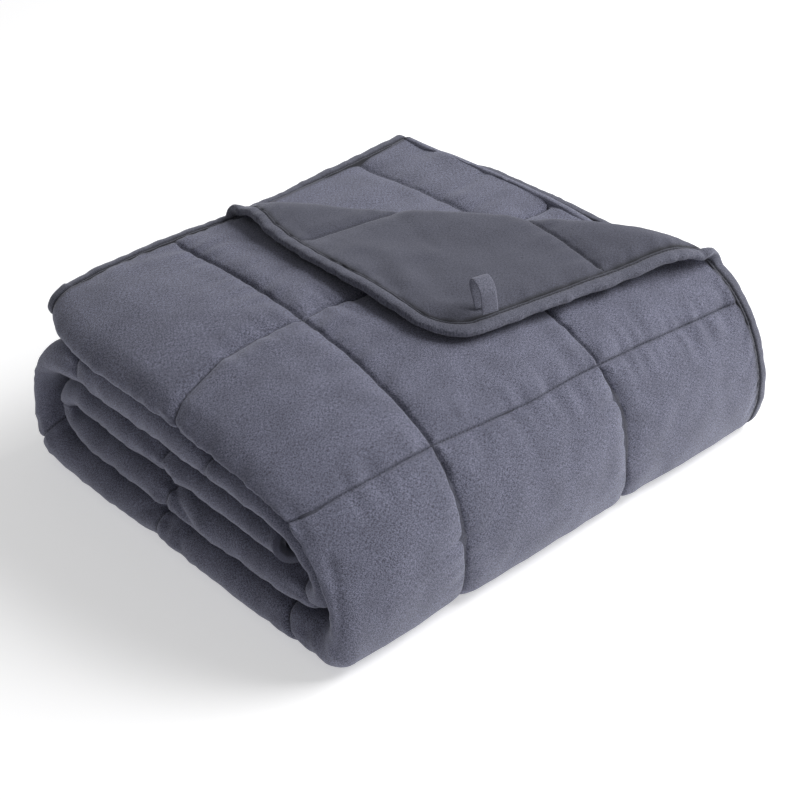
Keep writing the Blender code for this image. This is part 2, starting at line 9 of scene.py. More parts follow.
import logging
import math
from collections.abc import Callable
from dataclasses import dataclass, field
from enum import Enum

import bmesh
import bpy
import numpy as np
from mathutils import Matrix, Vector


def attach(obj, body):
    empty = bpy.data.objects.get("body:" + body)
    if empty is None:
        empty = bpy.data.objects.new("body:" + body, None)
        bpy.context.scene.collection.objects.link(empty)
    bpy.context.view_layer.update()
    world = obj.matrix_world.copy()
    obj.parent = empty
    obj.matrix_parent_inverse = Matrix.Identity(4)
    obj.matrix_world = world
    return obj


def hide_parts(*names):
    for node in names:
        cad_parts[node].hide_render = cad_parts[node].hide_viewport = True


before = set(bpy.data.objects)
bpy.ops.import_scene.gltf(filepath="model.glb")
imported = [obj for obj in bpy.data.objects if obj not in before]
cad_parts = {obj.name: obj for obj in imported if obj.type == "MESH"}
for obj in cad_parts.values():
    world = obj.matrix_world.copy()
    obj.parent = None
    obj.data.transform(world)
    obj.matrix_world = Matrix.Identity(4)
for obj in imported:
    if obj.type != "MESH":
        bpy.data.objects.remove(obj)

Array = np.ndarray
Pair = tuple[float, float]
Triple = tuple[float, float, float]
MM = 0.001
STAND = np.array([-0.1994566, -0.1672927, 0.0])
PACE_SAMPLES = 600
SAME_PLACE = 1e-7
log = logging.getLogger("blanket")


class Side(Enum):
    """Which face of the quilted sheet a surface shows."""

    FACE = 1.0
    REVERSE = -1.0


# ---- curves and unevenness ----------------------------------------------------------------------
def through(values: Array, where: Array) -> Array:
    """Catmull-Rom curve through evenly numbered values.

    Between two values it is the cubic whose slope at each of them is half the step from the
    value before to the value after.

    Args:
        values: the values, one for each row number.
        where: row numbers to read at, of any shape.

    Returns:
        The curve's values, in the shape of where.
    """
    where = np.clip(np.asarray(where, float), 0.0, len(values) - 1.0)
    base = np.minimum(where.astype(int), len(values) - 2)
    part = where - base
    before, first = values[np.maximum(base - 1, 0)], values[base]
    second, after = values[base + 1], values[np.minimum(base + 2, len(values) - 1)]
    square, cube = part**2, part**3
    return (
        (2 * cube - 3 * square + 1) * first
        + (cube - 2 * square + part) * 0.5 * (second - before)
        + (3 * square - 2 * cube) * second
        + (cube - square) * 0.5 * (after - first)
    )


def smooth_step(value: Array, start: float = 0.0, over: float = 1.0) -> Array:
    """0 up to the start, 1 once it is over, and 3v^2 - 2v^3 of the part v between."""
    part = np.clip((value - start) / over, 0.0, 1.0)
    return part * part * (3.0 - 2.0 * part)


def bell(value: Array, middle: float = 0.0, reach: float = 1.0) -> Array:
    """1 at the middle and falling off on both sides as exp(-v^2), v being 1 at the reach."""
    return np.exp(-np.square((value - middle) / reach))


def unit(vectors: Array) -> Array:
    """Vectors of length 1 in the same directions."""
    return vectors / np.maximum(np.linalg.norm(vectors, axis=-1, keepdims=True), 1e-12)


class Unevenness:
    """Seeded soft unevenness over two coordinates, about -1 to 1.

    Each whole-numbered place has a slope of its own direction, and between four such places
    their slopes are blended with 6a^5 - 15a^4 + 10a^3. Where a bare number is added to a place,
    it only moves on to another part of the same unevenness.
    """

    SIZE = 97
    SWING = 1.45

    def __init__(self, seed: int) -> None:
        """Draws the slopes' directions from a seed."""
        turn = np.random.default_rng(seed).uniform(0.0, 2.0 * math.pi, (self.SIZE, self.SIZE))
        self.slope_u, self.slope_v = np.cos(turn), np.sin(turn)

    def at(self, across: Array, along: Array) -> Array:
        """Value at a place; 1 in either coordinate is the size of one swelling.

        Args:
            across: first coordinate, counted in swellings.
            along: second coordinate, counted in swellings.

        Returns:
            The unevenness there.
        """
        across, along = np.broadcast_arrays(np.asarray(across, float), np.asarray(along, float))
        low_u, low_v = np.floor(across).astype(int), np.floor(along).astype(int)
        part_u, part_v = across - low_u, along - low_v
        fade_u = part_u**3 * (part_u * (6 * part_u - 15) + 10)
        fade_v = part_v**3 * (part_v * (6 * part_v - 15) + 10)
        total = np.zeros_like(part_u)
        for step_u, share_u in ((0, 1 - fade_u), (1, fade_u)):
            for step_v, share_v in ((0, 1 - fade_v), (1, fade_v)):
                place = ((low_u + step_u) % self.SIZE, (low_v + step_v) % self.SIZE)
                rise = self.slope_u[place] * (part_u - step_u) + self.slope_v[place] * (part_v - step_v)
                total += share_u * share_v * rise
        return self.SWING * total


# ---- the fold -----------------------------------------------------------------------------------
@dataclass(frozen=True)
class FoldSizes:
    """Driving sizes of the folded blanket: the solids' own, and those fitted to the photograph.

    A pair named _step or _bell is where a soft step or bell lies and how far it goes, for the
    tight end in shares of the fold line. A layer is two shares across the band, the turn's start
    and end are places of the flat outer layer, and drift_across is from where to where.
    """

    sheet_end: float = 0.395
    fold_end: float = 0.375
    inner_edge: float = 0.030
    top_end: float = 0.300
    stagger: float = 0.035
    sag: float = 0.008
    sag_across_step: Pair = (0.120, 0.120)
    sag_back_step: Pair = (0.050, 0.100)
    square_across: float = 0.1525
    square_along: float = 0.1465
    binding_width: float = 0.0096
    outer_layer: Pair = (0.0, 0.30)
    inner_layer: Pair = (0.35, 0.65)
    under_layer: Pair = (0.70, 1.0)
    left_fold: float = 0.017
    left_fold_inside: float = 0.008
    right_fold: float = 0.011
    turn_start: Pair = (0.145, 0.310)
    turn_end: Pair = (0.405, 0.035)
    turn_radius: float = 0.0070
    flap_lift: float = 0.0116
    flap_settle: float = 0.045
    flap_half: float = 0.0045
    flap_root: float = 0.0037
    corner_radius: float = 0.036
    edge_half: float = 0.0023
    edge_rounding: float = 0.019
    wander: float = 0.0010
    ridge_bend: float = 0.009
    droop: float = 0.0145
    droop_reach: float = 0.115
    droop_end_step: Pair = (0.30, 0.12)
    drift_across: Pair = (0.010, 0.393)
    drift_along_from: float = 0.012
    wander_size: float = 0.09
    wander_inside: float = 0.05
    ridge_bend_over: float = 0.07
    turn_blend: float = 0.008
    thin_step: Pair = (-0.010, 0.014)
    tight_step: Pair = (0.68, 0.30)
    tight_radius: float = 0.42
    begin_reach: float = 0.050
    begin_radius: float = 0.62
    begin_sinks: float = 0.30
    flap_bow: float = 0.010
    flap_bow_across_bell: Pair = (0.27, 0.075)
    flap_bow_reach: float = 0.09
    flap_bow_over: float = 0.03
    flap_drawn_in: float = 0.09
    front_lift: float = 0.007
    front_lift_bell: Pair = (0.215, 0.045)
    front_lift_reach: float = 0.055
    back_lift: float = 0.005
    back_lift_bell: Pair = (0.185, 0.035)
    back_lift_reach: float = 0.045
    lift_blend: float = 0.03
    end_reach: float = 0.07
    lower_height_at: float = 0.65

    @property
    def bound_x(self) -> float:
        """X of the bound edge's outer side."""
        return self.sheet_end + self.binding_width

    @property
    def right_seam(self) -> float:
        """Place across the sheet of the seam one square from the bound edge."""
        return self.bound_x - self.square_across

    @property
    def left_seam(self) -> float:
        """Place across the sheet of the seam two squares from the bound edge."""
        return self.right_seam - self.square_across

    @property
    def rim_radius(self) -> float:
        """Radius of the cut edge's rounded corner."""
        return self.corner_radius - self.binding_width

    @property
    def flat_end(self) -> float:
        """X at which the right-hand fold of the lower layers begins."""
        return self.fold_end - self.right_fold

    @property
    def outer_middle(self) -> float:
        """Share across the band of the outer layer's middle."""
        return sum(self.outer_layer) / 2.0


def half_turn(count: int, x: Array, depth: float, first: float, last: float) -> tuple[Array, Array, Array]:
    """A fold's half circle: x + depth * sin(pi t), its share going from first to last by cos(pi t).

    Args:
        count: number of points.
        x: x where the fold starts and ends.
        depth: how far it reaches from there, to the right when positive.
        first: share across the band where it starts.
        last: share across the band where it ends.

    Returns:
        The part t of the turn, x and the share, each in columns.
    """
    turn = np.linspace(0.0, 1.0, count)[:, None]
    share = (first + last) / 2.0 + (first - last) / 2.0 * np.cos(math.pi * turn)
    return turn, x + depth * np.sin(math.pi * turn), share


class Course:
    """The three-layer band's course through its five bands, from the top's free end inwards.

    Each row of the table gives, in millimetres, where the band's outer face and its inner face
    pass in the Y-Z plane, and where its left-hand fold ends in X.
    """

    FINE = 40
    TOP_END = "front_shoulder"
    COLUMNS = ("outer_y", "outer_z", "inner_y", "inner_z", "left_x")
    ROWS = {
        "top_free_end": (300.0, 144.5, 300.0, 114.4, 13.0),
        "top_back": (280.0, 147.0, 280.0, 115.4, 2.0),
        "top_crown": (235.0, 150.0, 235.0, 115.5, -6.0),
        "top_middle": (180.0, 150.5, 180.0, 115.0, -7.0),
        "top_fore": (135.0, 146.5, 138.0, 113.5, -6.0),
        "top_slope": (92.0, 137.0, 99.0, 110.0, -4.0),
        "top_brow": (53.0, 123.0, 67.0, 103.0, -1.0),
        "front_shoulder": (26.0, 106.0, 46.0, 91.5, 2.0),
        "front_high": (7.5, 80.0, 26.0, 75.0, 3.0),
        "front_middle": (-2.5, 50.0, 16.5, 53.0, 4.0),
        "front_low": (-3.0, 22.0, 16.0, 37.0, 3.0),
        "front_heel": (5.5, 3.2, 25.0, 29.3, 2.0),
        "bottom_fore": (30.0, 0.0, 48.0, 28.5, 1.0),
        "bottom_middle": (165.0, 0.0, 165.0, 28.5, 0.0),
        "bottom_back": (292.0, 0.0, 284.0, 28.5, 0.0),
        "back_heel": (325.0, 4.0, 304.0, 34.5, 2.0),
        "back_low": (336.5, 24.0, 311.5, 46.0, 4.0),
        "back_middle": (333.5, 55.0, 310.5, 61.5, 5.0),
        "back_high": (319.0, 87.0, 301.0, 76.5, 3.0),
        "second_back": (288.0, 109.5, 277.0, 84.0, 1.0),
        "second_crown": (235.0, 113.7, 232.0, 84.3, 0.0),
        "second_middle": (165.0, 113.0, 165.0, 84.0, -1.0),
        "second_fore": (100.0, 107.6, 108.0, 83.5, 0.0),
        "inner_brow": (69.0, 100.6, 81.0, 82.8, 1.0),
        "inner_shoulder": (46.5, 88.4, 59.0, 77.0, 4.0),
        "inner_high": (29.0, 72.5, 45.5, 66.5, 6.0),
        "inner_low": (18.6, 51.5, 37.0, 57.5, 7.0),
        "inner_heel": (25.5, 33.0, 44.0, 54.3, 6.0),
        "fourth_fore": (55.0, 30.0, 68.0, 54.5, 4.0),
        "fourth_middle": (165.0, 30.0, 165.0, 54.5, 2.0),
        "fourth_back": (262.0, 30.0, 254.0, 54.5, 4.0),
        "tuck_heel": (290.0, 33.4, 273.0, 54.7, 7.0),
        "tuck_low": (304.0, 44.0, 279.5, 55.1, 9.0),
        "tuck_middle": (308.0, 56.5, 282.0, 55.9, 9.0),
        "tuck_high": (302.0, 69.5, 279.5, 56.8, 8.0),
        "tuck_brow": (287.0, 78.6, 273.0, 57.2, 7.0),
        "third_back": (260.0, 82.0, 256.0, 57.4, 5.0),
        "third_middle": (165.0, 82.0, 165.0, 57.4, 3.0),
        "third_free_end": (66.0, 76.5, 51.0, 57.8, 4.0),
    }

    def __init__(self, sizes: FoldSizes) -> None:
        """Reads the table finely once, for the band's length and the top's height."""
        self.sizes = sizes
        table = np.array(list(self.ROWS.values())) * MM
        self.columns = dict(zip(self.COLUMNS, table.T))
        self.rows = np.linspace(0.0, len(table) - 1.0, (len(table) - 1) * self.FINE + 1)
        self.fine = {name: through(values, self.rows) for name, values in self.columns.items()}
        steps = np.hypot(np.diff(self.fine["outer_y"]), np.diff(self.fine["outer_z"]))
        self.along = np.concatenate([[0.0], np.cumsum(steps)]) + sizes.binding_width
        self.length = float(self.along[-1])

    def row_of(self, name: str) -> int:
        """Row number of a named section."""
        return list(self.ROWS).index(name)

    def row_at(self, along: Array) -> Array:
        """Row number of the places that lie so far along the outer face."""
        return np.interp(along, self.along, self.rows)

    def ends(self, row: Array) -> tuple[Array, Array, Array]:
        """The band's two faces and its left-hand end at row numbers.

        Args:
            row: row numbers.

        Returns:
            Outer point and inner point, each (..., y z), and the left-hand end's x.
        """
        read = {name: through(values, row) for name, values in self.columns.items()}
        outer = np.stack([read["outer_y"], np.maximum(read["outer_z"], 0.0)], -1)
        inner = np.stack([read["inner_y"], read["inner_z"]], -1)
        return outer, inner, read["left_x"]

    def layer_height(self, y: Array, across: float) -> Array:
        """Height of a layer of the top band at places y, by its share across the band."""
        top = self.rows <= self.row_of(self.TOP_END) + 0.5
        outer_y, outer_z = self.fine["outer_y"][top], self.fine["outer_z"][top]
        layer_y = outer_y + (self.fine["inner_y"][top] - outer_y) * across
        layer_z = outer_z + (self.fine["inner_z"][top] - outer_z) * across
        return np.interp(y, layer_y[::-1], layer_z[::-1])


class Folding:
    """Where a place of the flat sheet comes to lie once it is folded, and the turned corner.

    Both tables are in millimetres: how far a seam has drifted, by the place along it.
    """

    OFF_TOP = -1.0
    DRIFT_ACROSS = {
        "along": (0, 45, 130, 250, 290, 330, 370, 440),
        "left_seam": (15, 14, 12, 10.5, 11.5, 11, 8, 8),
        "right_seam": (3, 3, 3, 2.5, 6, 10, 6.6, 8),
    }
    DRIFT_ALONG = {
        "across": (-13, -6, 8, 24, 43, 61, 80, 102, 118, 142, 182, 233, 296, 350, 398),
        "top_seam": (27, 23, 17, 11.4, 5.7, 4.7, 6, 8, 6, 9, 9, 9, 9, 9, 9),
        "front_seam": (-6.8, -6.8, -6.8, -6.8, -6.8, -6.8, -6.8, -6.5, -5.6, -4, -1.8, -1.8, 0, 3.8, 6.2),
    }

    def __init__(self, sizes: FoldSizes, course: Course) -> None:
        """Keeps the sizes and works out the diagonal's direction."""
        self.sizes, self.course = sizes, course
        start, end = np.array(sizes.turn_start), np.array(sizes.turn_end)
        self.start, self.turn_length = start, float(np.linalg.norm(end - start))
        self.ridge = (end - start) / self.turn_length
        self.out = np.array([-self.ridge[1], self.ridge[0]])
        self.uneven = Unevenness(37)

    def sag(self, x: Array, y: Array) -> Array:
        """How far the top has sunk at a place: a soft step in x times a soft step in y."""
        sizes = self.sizes
        return sizes.sag * smooth_step(x, *sizes.sag_across_step) * smooth_step(y, *sizes.sag_back_step)

    def stagger(self, x: Array) -> Array:
        """How much further back a lower layer of the top ends at x: it grows as x^1.1."""
        return self.sizes.stagger * np.maximum(x / self.sizes.fold_end, 0.0) ** 1.1

    def top_height(self, x: Array, y: Array, across: float) -> Array:
        """Height of a layer of the top band at a place, its sinking included."""
        return self.course.layer_height(y, across) - self.sag(x, y) * (1.0 - across)

    def droop(self, x: Array, along: Array) -> Array:
        """How far the top layer gives way towards the left fold: ((reach - x) / reach)^3."""
        sizes = self.sizes
        near = np.clip((sizes.droop_reach - x) / sizes.droop_reach, 0.0, 1.2)
        return sizes.droop * near**3 * (1.0 - smooth_step(along, *sizes.droop_end_step))

    def drifted(self, across: Array, along: Array) -> tuple[Array, Array]:
        """Where a place of the sheet has wandered to, as its seams aren't quite straight.

        The tables give each visible seam's own drift. Between two seams it is shared out in
        proportion, and it ends at the bound edges.

        Args:
            across: place across the sheet.
            along: place along the sheet.

        Returns:
            The two places after the drift.
        """
        sizes, pitch = self.sizes, self.sizes.square_along
        edges = (sizes.drift_across[0], sizes.left_seam, sizes.right_seam, sizes.drift_across[1])
        lines = (sizes.drift_along_from, pitch, 2.0 * pitch, 3.0 * pitch)
        moved = []
        for table, read_at, share_at, knots in (
            (self.DRIFT_ACROSS, along, across, edges),
            (self.DRIFT_ALONG, across, along, lines),
        ):
            places, *drifts = (np.array(values) * MM for values in table.values())
            shares = (np.interp(share_at, knots, share) for share in ((0, 1, 0, 0), (0, 0, 1, 0)))
            drifts = (np.interp(read_at, places, drift) for drift in drifts)
            moved.append(sum(share * drift for share, drift in zip(shares, drifts)))
        inside = smooth_step((sizes.sheet_end - across) / sizes.wander_inside) * sizes.wander
        inside = inside * smooth_step(along, sizes.binding_width, sizes.wander_inside)
        place_u, place_v = across / sizes.wander_size, along / sizes.wander_size
        x = across + moved[0] + self.uneven.at(place_u, place_v) * inside
        return x, along + moved[1] + self.uneven.at(place_u + 40.0, place_v) * inside

    def along_turn(self, x: Array, y: Array) -> Array:
        """Distance of a place of the flat outer layer along the fold line, from its start."""
        return (x - self.start[0]) * self.ridge[0] + (y - self.start[1]) * self.ridge[1]

    def past_turn(self, x: Array, y: Array) -> Array:
        """Distance of a place of the flat outer layer past the fold line, towards its corner."""
        straight = (x - self.start[0]) * self.out[0] + (y - self.start[1]) * self.out[1]
        return straight - self.sizes.ridge_bend * bell(self.along_turn(x, y) / self.sizes.ridge_bend_over)

    def edge_gap(self, across: Array, along: Array) -> Array:
        """Distance on the flat sheet to its cut edge, which is rounded at the corner."""
        radius = self.sizes.rim_radius
        to_end, to_side = along - self.sizes.binding_width, self.sizes.sheet_end - across
        rounded = radius - np.hypot(radius - to_end, radius - to_side)
        near_corner = (to_end < radius) & (to_side < radius)
        return np.maximum(np.where(near_corner, rounded, np.minimum(to_end, to_side)), 0.0)

    def lifted(self, across: Array, along: Array) -> Array:
        """How far the turned corner's edges stand up: two soft hollows beside its ridge."""
        sizes = self.sizes
        front = sizes.front_lift * bell(along, *sizes.front_lift_bell)
        back = sizes.back_lift * bell(across, *sizes.back_lift_bell)
        beside_front = bell((sizes.sheet_end - across) / sizes.front_lift_reach)
        return front * beside_front + back * bell((along - sizes.binding_width) / sizes.back_lift_reach)

    def turned_place(self, x: Array, y: Array, offset: Array) -> Array:
        """Places in space of points past the diagonal, offset from the layer's middle.

        The layer rolls over the diagonal as half a circle, then lies back on the top and sinks
        softly from the height of the roll to the flap's own. A positive offset is to the
        reverse side, which faces up once the corner is turned. Before the diagonal it is flat.

        Args:
            x: unfolded x.
            y: unfolded y.
            offset: distance from the layer's middle.

        Returns:
            The places, (..., x y z).
        """
        sizes = self.sizes
        past, ahead = self.past_turn(x, y), self.along_turn(x, y)
        tight = smooth_step(ahead, *(share * self.turn_length for share in sizes.tight_step))
        begun = bell(np.maximum(ahead, 0.0) / sizes.begin_reach)
        radius = sizes.turn_radius * (1.0 - sizes.tight_radius * tight) * (1.0 - sizes.begin_radius * begun)
        foot_x, foot_y = x - self.out[0] * past, y - self.out[1] * past
        angle = np.clip(past / radius, 0.0, math.pi)
        flat = np.maximum(past - math.pi * radius, 0.0)
        rolling = past < math.pi * radius
        sink = smooth_step(flat / sizes.flap_settle)
        lain = -flat * (1.0 - sizes.flap_drawn_in)
        reach = np.where(rolling, (radius + offset) * np.sin(angle), lain) + np.minimum(past, 0.0)
        rolled = radius * (1.0 - np.cos(angle)) - offset * np.cos(angle)
        settled = sizes.flap_lift * (1.0 - sizes.begin_sinks * begun)
        lift = np.where(rolling, rolled, 2.0 * radius * (1.0 - sink) + settled * sink + offset)
        place_x, place_y = foot_x + self.out[0] * reach, foot_y + self.out[1] * reach
        bow = smooth_step(flat / sizes.flap_bow_over) * bell(y, sizes.top_end, sizes.flap_bow_reach)
        place_x = place_x - sizes.flap_bow * bow * bell(x, *sizes.flap_bow_across_bell)
        height = self.top_height(place_x, place_y, sizes.outer_middle) + lift
        return np.stack([place_x, place_y, height], -1)

    def section(self, place: Array) -> tuple[Array, Array, Array, Array]:
        """Sections of the band at places along it.

        Args:
            place: places along the band, after their drift.

        Returns:
            Outer point, the step from it to the inner point, the thickness, and whether the
            section is on the top.
        """
        row = self.course.row_at(place)
        outer, inner, _ = self.course.ends(row)
        on_top = row <= self.course.row_of(self.course.TOP_END)
        return outer, inner - outer, np.linalg.norm(inner - outer, axis=-1), on_top

    def drooped(self, share: Array, x: Array, along: Array, thickness: Array) -> Array:
        """A share of the way from the outer to the inner face, lowered by the droop."""
        return share + (1.0 - share) * self.droop(x, along) / thickness

    def outer_place(self, across: Array, along: Array, depth: Array) -> Array:
        """Places of points of the outer layer anywhere on the sheet, turned corner included.

        A lying point is the share outer_middle + depth / thickness of the way from the band's
        outer face to its inner face. Close to the fold line it blends into the turned place.

        Args:
            across: place across the sheet.
            along: place along the sheet.
            depth: distance from the layer's middle, positive to the reverse side.

        Returns:
            The places, (..., x y z).
        """
        sizes = self.sizes
        across, along, depth = np.broadcast_arrays(across, along, depth)
        x, place = self.drifted(across, along)
        outer, step, thickness, on_top = self.section(place)
        share = self.drooped(sizes.outer_middle + depth / thickness, x, along, thickness)
        y, z = (outer[..., axis] + step[..., axis] * share for axis in range(2))
        z = np.where(on_top, z - self.sag(x, y) * (1.0 - share), z)
        lying = np.stack([x, y, z], -1)
        middle_y = outer[..., 0] + step[..., 0] * sizes.outer_middle
        turned = self.turned_place(x, middle_y, depth)
        past = np.where(on_top, self.past_turn(x, middle_y), self.OFF_TOP)
        turned[..., 2] += self.lifted(across, along) * smooth_step(past / sizes.lift_blend)
        return lying + (turned - lying) * smooth_step(past / sizes.turn_blend + 1.0)[..., None]

    def past_at(self, across: Array, along: Array) -> Array:
        """Distance past the fold line of a place of the sheet; far below 0 off the top."""
        x, place = self.drifted(across, along)
        outer, step, _, on_top = self.section(place)
        middle_y = outer[..., 0] + step[..., 0] * self.sizes.outer_middle
        return np.where(on_top, self.past_turn(x, middle_y), self.OFF_TOP)

    def half_at(self, across: Array, along: Array) -> Array:
        """Half the outer layer's thickness at a place.

        Lying, it is the layer's own share of the band. Turned, it is the flap's. Near the
        bound edge it rounds down to the binding's as 1 - t^3, t being nearness to the edge.

        Args:
            across: place across the sheet.
            along: place along the sheet.

        Returns:
            Half the thickness.
        """
        sizes = self.sizes
        full = sizes.outer_middle * self.section(self.drifted(across, along)[1])[2]
        past = self.past_at(across, along)
        flap = sizes.flap_root + (sizes.flap_half - sizes.flap_root) * smooth_step(past / sizes.flap_settle)
        half = full + (flap - full) * smooth_step(past, *sizes.thin_step)
        near = 1.0 - np.clip(self.edge_gap(across, along) / sizes.edge_rounding, 0.0, 1.0)
        return sizes.edge_half + (half - sizes.edge_half) * (1.0 - near**3)

    def band_place(self, x: Array, along: Array, share: Array, lower: Array) -> Array:
        """Places between the band's outer face and its inner face.

        On the top, lower layers lie further back by the stagger, and all sink with the sag.

        Args:
            x: place across the pile.
            along: place along the sheet, after its drift.
            share: share of the way from the outer face to the inner face.
            lower: how much of the stagger a point takes.

        Returns:
            The places, (..., x y z).
        """
        sizes, course = self.sizes, self.course
        x, along, share, lower = np.broadcast_arrays(x, along, share, lower)
        outer, step, thickness, on_top = self.section(along)
        share = self.drooped(share, x, along, thickness)
        y, z = (outer[..., axis] + step[..., axis] * share for axis in range(2))
        at_end = 1.0 - smooth_step(along, sizes.binding_width, sizes.end_reach)
        moved = y + self.stagger(x) * at_end * lower
        after, before = (course.layer_height(place, sizes.lower_height_at) for place in (moved, y))
        lowered = z + (after - before) - self.sag(x, moved) * (1.0 - share)
        return np.stack([x, np.where(on_top, moved, y), np.where(on_top, lowered, z)], -1)


# ---- quilting relief ------------------------------------------------------------------------------
@dataclass(frozen=True)
class Quilting:
    """Relief of the quilted squares, as a function of the place on the flat sheet.

    Across is x on the flat outer layer and along is measured on the band's course. A pair
    named _bell is where a bell lies and how far it reaches, and a lump is its height, the size
    of one swelling and the part of the unevenness it takes.
    """

    sizes: FoldSizes
    seam_depth: float = 0.0027
    seam_reach: float = 0.0135
    groove_power: float = 0.7
    # Painted shade along the seam grooves: how far it reaches and how dark it is at most.
    shade_reach: float = 0.0009
    shade_most: float = 0.5
    stitch_depth: float = 0.0018
    stitch_reach: float = 0.0014
    crown_depth: float = 0.0024
    crown_reach: float = 0.070
    folded_until: float = 0.030
    folded_over: float = 0.040
    folded_slack: float = 0.62
    pucker: float = 0.0020
    pucker_size: float = 0.009
    pucker_reach: float = 0.019
    pucker_length: float = 0.05
    pucker_at_seam: float = 0.25
    pucker_over: float = 0.005
    crinkle: float = 0.0012
    crinkle_size: float = 0.0085
    crinkle_bell: Pair = (-0.006, 0.026)
    swell: float = 0.30
    swell_size: float = 0.045
    lumps: tuple[Triple, Triple] = ((0.0009, 0.034, 0.0), (0.45 * 0.0009, 0.014, 5.0))
    coarse: Unevenness = field(default_factory=lambda: Unevenness(11))
    fine: Unevenness = field(default_factory=lambda: Unevenness(23))

    CREASE_COLUMNS = ("across_from", "along_from", "across_to", "along_to", "half_width", "height")
    CREASES = {
        "front_corner": (26.0, 300.0, 24.0, 430.0, 7.0, -1.6),
        "front_upright": (8.0, 325.0, -5.0, 392.0, 3.2, -1.3),
        "second_behind": (-14.0, 903.0, 14.0, 893.0, 3.0, -1.7),
        "second_middle": (-8.0, 1070.0, 12.0, 1066.0, 3.0, -1.6),
        "second_before": (-12.0, 1104.0, 12.0, 1100.0, 3.4, -1.8),
        "third_behind": (-10.0, 1580.0, 10.0, 1570.0, 2.8, -1.6),
        "third_middle": (-16.0, 1606.0, 4.0, 1600.0, 3.0, -1.9),
        "third_crumple": (-16.0, 1640.0, 6.0, 1649.0, 3.6, -2.2),
        "third_swell": (-14.0, 1627.0, 2.0, 1624.0, 4.5, 1.3),
        "fourth_crumple": (-28.0, 1322.0, -6.0, 1290.0, 3.2, -2.4),
        "fourth_swell": (-28.0, 1303.0, -12.0, 1276.0, 4.5, 1.4),
        "bottom_back": (-26.0, 742.0, -4.0, 748.0, 2.6, -1.5),
        "bottom_long": (-8.0, 616.0, -30.0, 586.0, 2.8, -2.2),
        "bottom_notch": (-14.0, 574.0, -32.0, 582.0, 2.8, -2.0),
        "bottom_pinch": (-12.0, 560.0, -32.0, 551.0, 3.0, -2.4),
        "bottom_front": (-8.0, 429.0, -26.0, 410.0, 2.8, -1.7),
        "flap_crease": (266.0, 79.0, 312.0, 72.0, 4.5, -1.3),
        "flap_trough": (296.0, 31.0, 342.0, 12.0, 8.0, -2.4),
        "flap_ridge": (302.0, 45.0, 342.0, 27.0, 7.0, 2.0),
        "flap_hollow": (326.0, 52.0, 366.0, 36.0, 9.0, -2.4),
        "flap_swell": (340.0, 78.0, 372.0, 62.0, 12.0, 1.8),
        "top_hollow": (178.0, 66.0, 232.0, 58.0, 10.0, -1.8),
    }

    def seam_distances(self, across: Array, along: Array) -> tuple[Array, Array]:
        """Distance to the nearest seam that runs along the band, and to the nearest across it.

        Args:
            across: place across the sheet.
            along: place along the sheet.

        Returns:
            The two distances.
        """
        pitch, first = self.sizes.square_across, self.sizes.right_seam
        to_long = np.abs((across - first + pitch / 2.0) % pitch - pitch / 2.0)
        to_long = np.where(across > first, across - first, to_long)
        pitch = self.sizes.square_along
        to_cross = np.abs((along + pitch / 2.0) % pitch - pitch / 2.0)
        return to_long, np.where(along < pitch, pitch - along, to_cross)

    def shade(self, across: Array, along: Array) -> Array:
        """Painted shade in the seam grooves: most * exp(-(d / reach)^2) of the nearest seam."""
        return self.shade_most * bell(np.minimum(*self.seam_distances(across, along)) / self.shade_reach)

    def creases(self, across: Array, along: Array) -> Array:
        """Sum of the listed troughs and ridges.

        Each is its height times exp(-(d / half width)^2), with d the distance to its line.

        Args:
            across: place across the sheet.
            along: place along the sheet.

        Returns:
            Height outward, in metres.
        """
        total = np.zeros(np.broadcast(across, along).shape)
        for row in self.CREASES.values():
            crease = {name: value * MM for name, value in zip(self.CREASE_COLUMNS, row)}
            to_u, to_v = across - crease["across_from"], along - crease["along_from"]
            run_u, run_v = (crease[f"{way}_to"] - crease[f"{way}_from"] for way in ("across", "along"))
            part = np.clip((to_u * run_u + to_v * run_v) / (run_u**2 + run_v**2), 0.0, 1.0)
            gap = np.hypot(to_u - part * run_u, to_v - part * run_v)
            total = total + crease["height"] * bell(gap / crease["half_width"])
        return total

    def relief(self, across: Array, along: Array) -> Array:
        """How far the cloth stands out at a place.

        It is a groove along each seam with a sharp line in it, a soft crown between seams,
        short puckers square to a seam that fade with the distance from it, the filling's slow
        lumps, and the listed creases.

        Args:
            across: place across the sheet.
            along: place along the sheet.

        Returns:
            Height outward, in metres.
        """
        long, cross = self.seam_distances(across, along)
        nearest = np.minimum(long, cross)
        folded = smooth_step((self.folded_until - across) / self.folded_over)
        groove = 1.0 - smooth_step((nearest / self.seam_reach) ** self.groove_power)
        uneven = 1.0 + self.swell * self.coarse.at(across / self.swell_size + 9.0, along / self.swell_size)
        crown = self.crown_depth * (1.0 - smooth_step(nearest / self.crown_reach))
        total = (-self.seam_depth * groove * uneven - crown) * (1.0 - self.folded_slack * folded)
        total -= self.stitch_depth * bell(nearest / self.stitch_reach)
        beside = 0.0
        for place, way, gap, turn in ((along, across, long, 3.1), (across, along, cross, 7.7)):
            ripple = self.fine.at(place / self.pucker_size, way / self.pucker_length + turn)
            beside = beside + ripple * bell(gap / self.pucker_reach)
        total += self.pucker * beside * smooth_step(nearest / self.pucker_over + self.pucker_at_seam)
        crinkled = self.fine.at(along / self.crinkle_size, across / self.swell_size + 1.3) * folded
        total += self.crinkle * crinkled * bell(across, *self.crinkle_bell)
        for height, size, turn in self.lumps:
            total += height * self.coarse.at(across / size + turn, along / size)
        return total + self.creases(across, along)


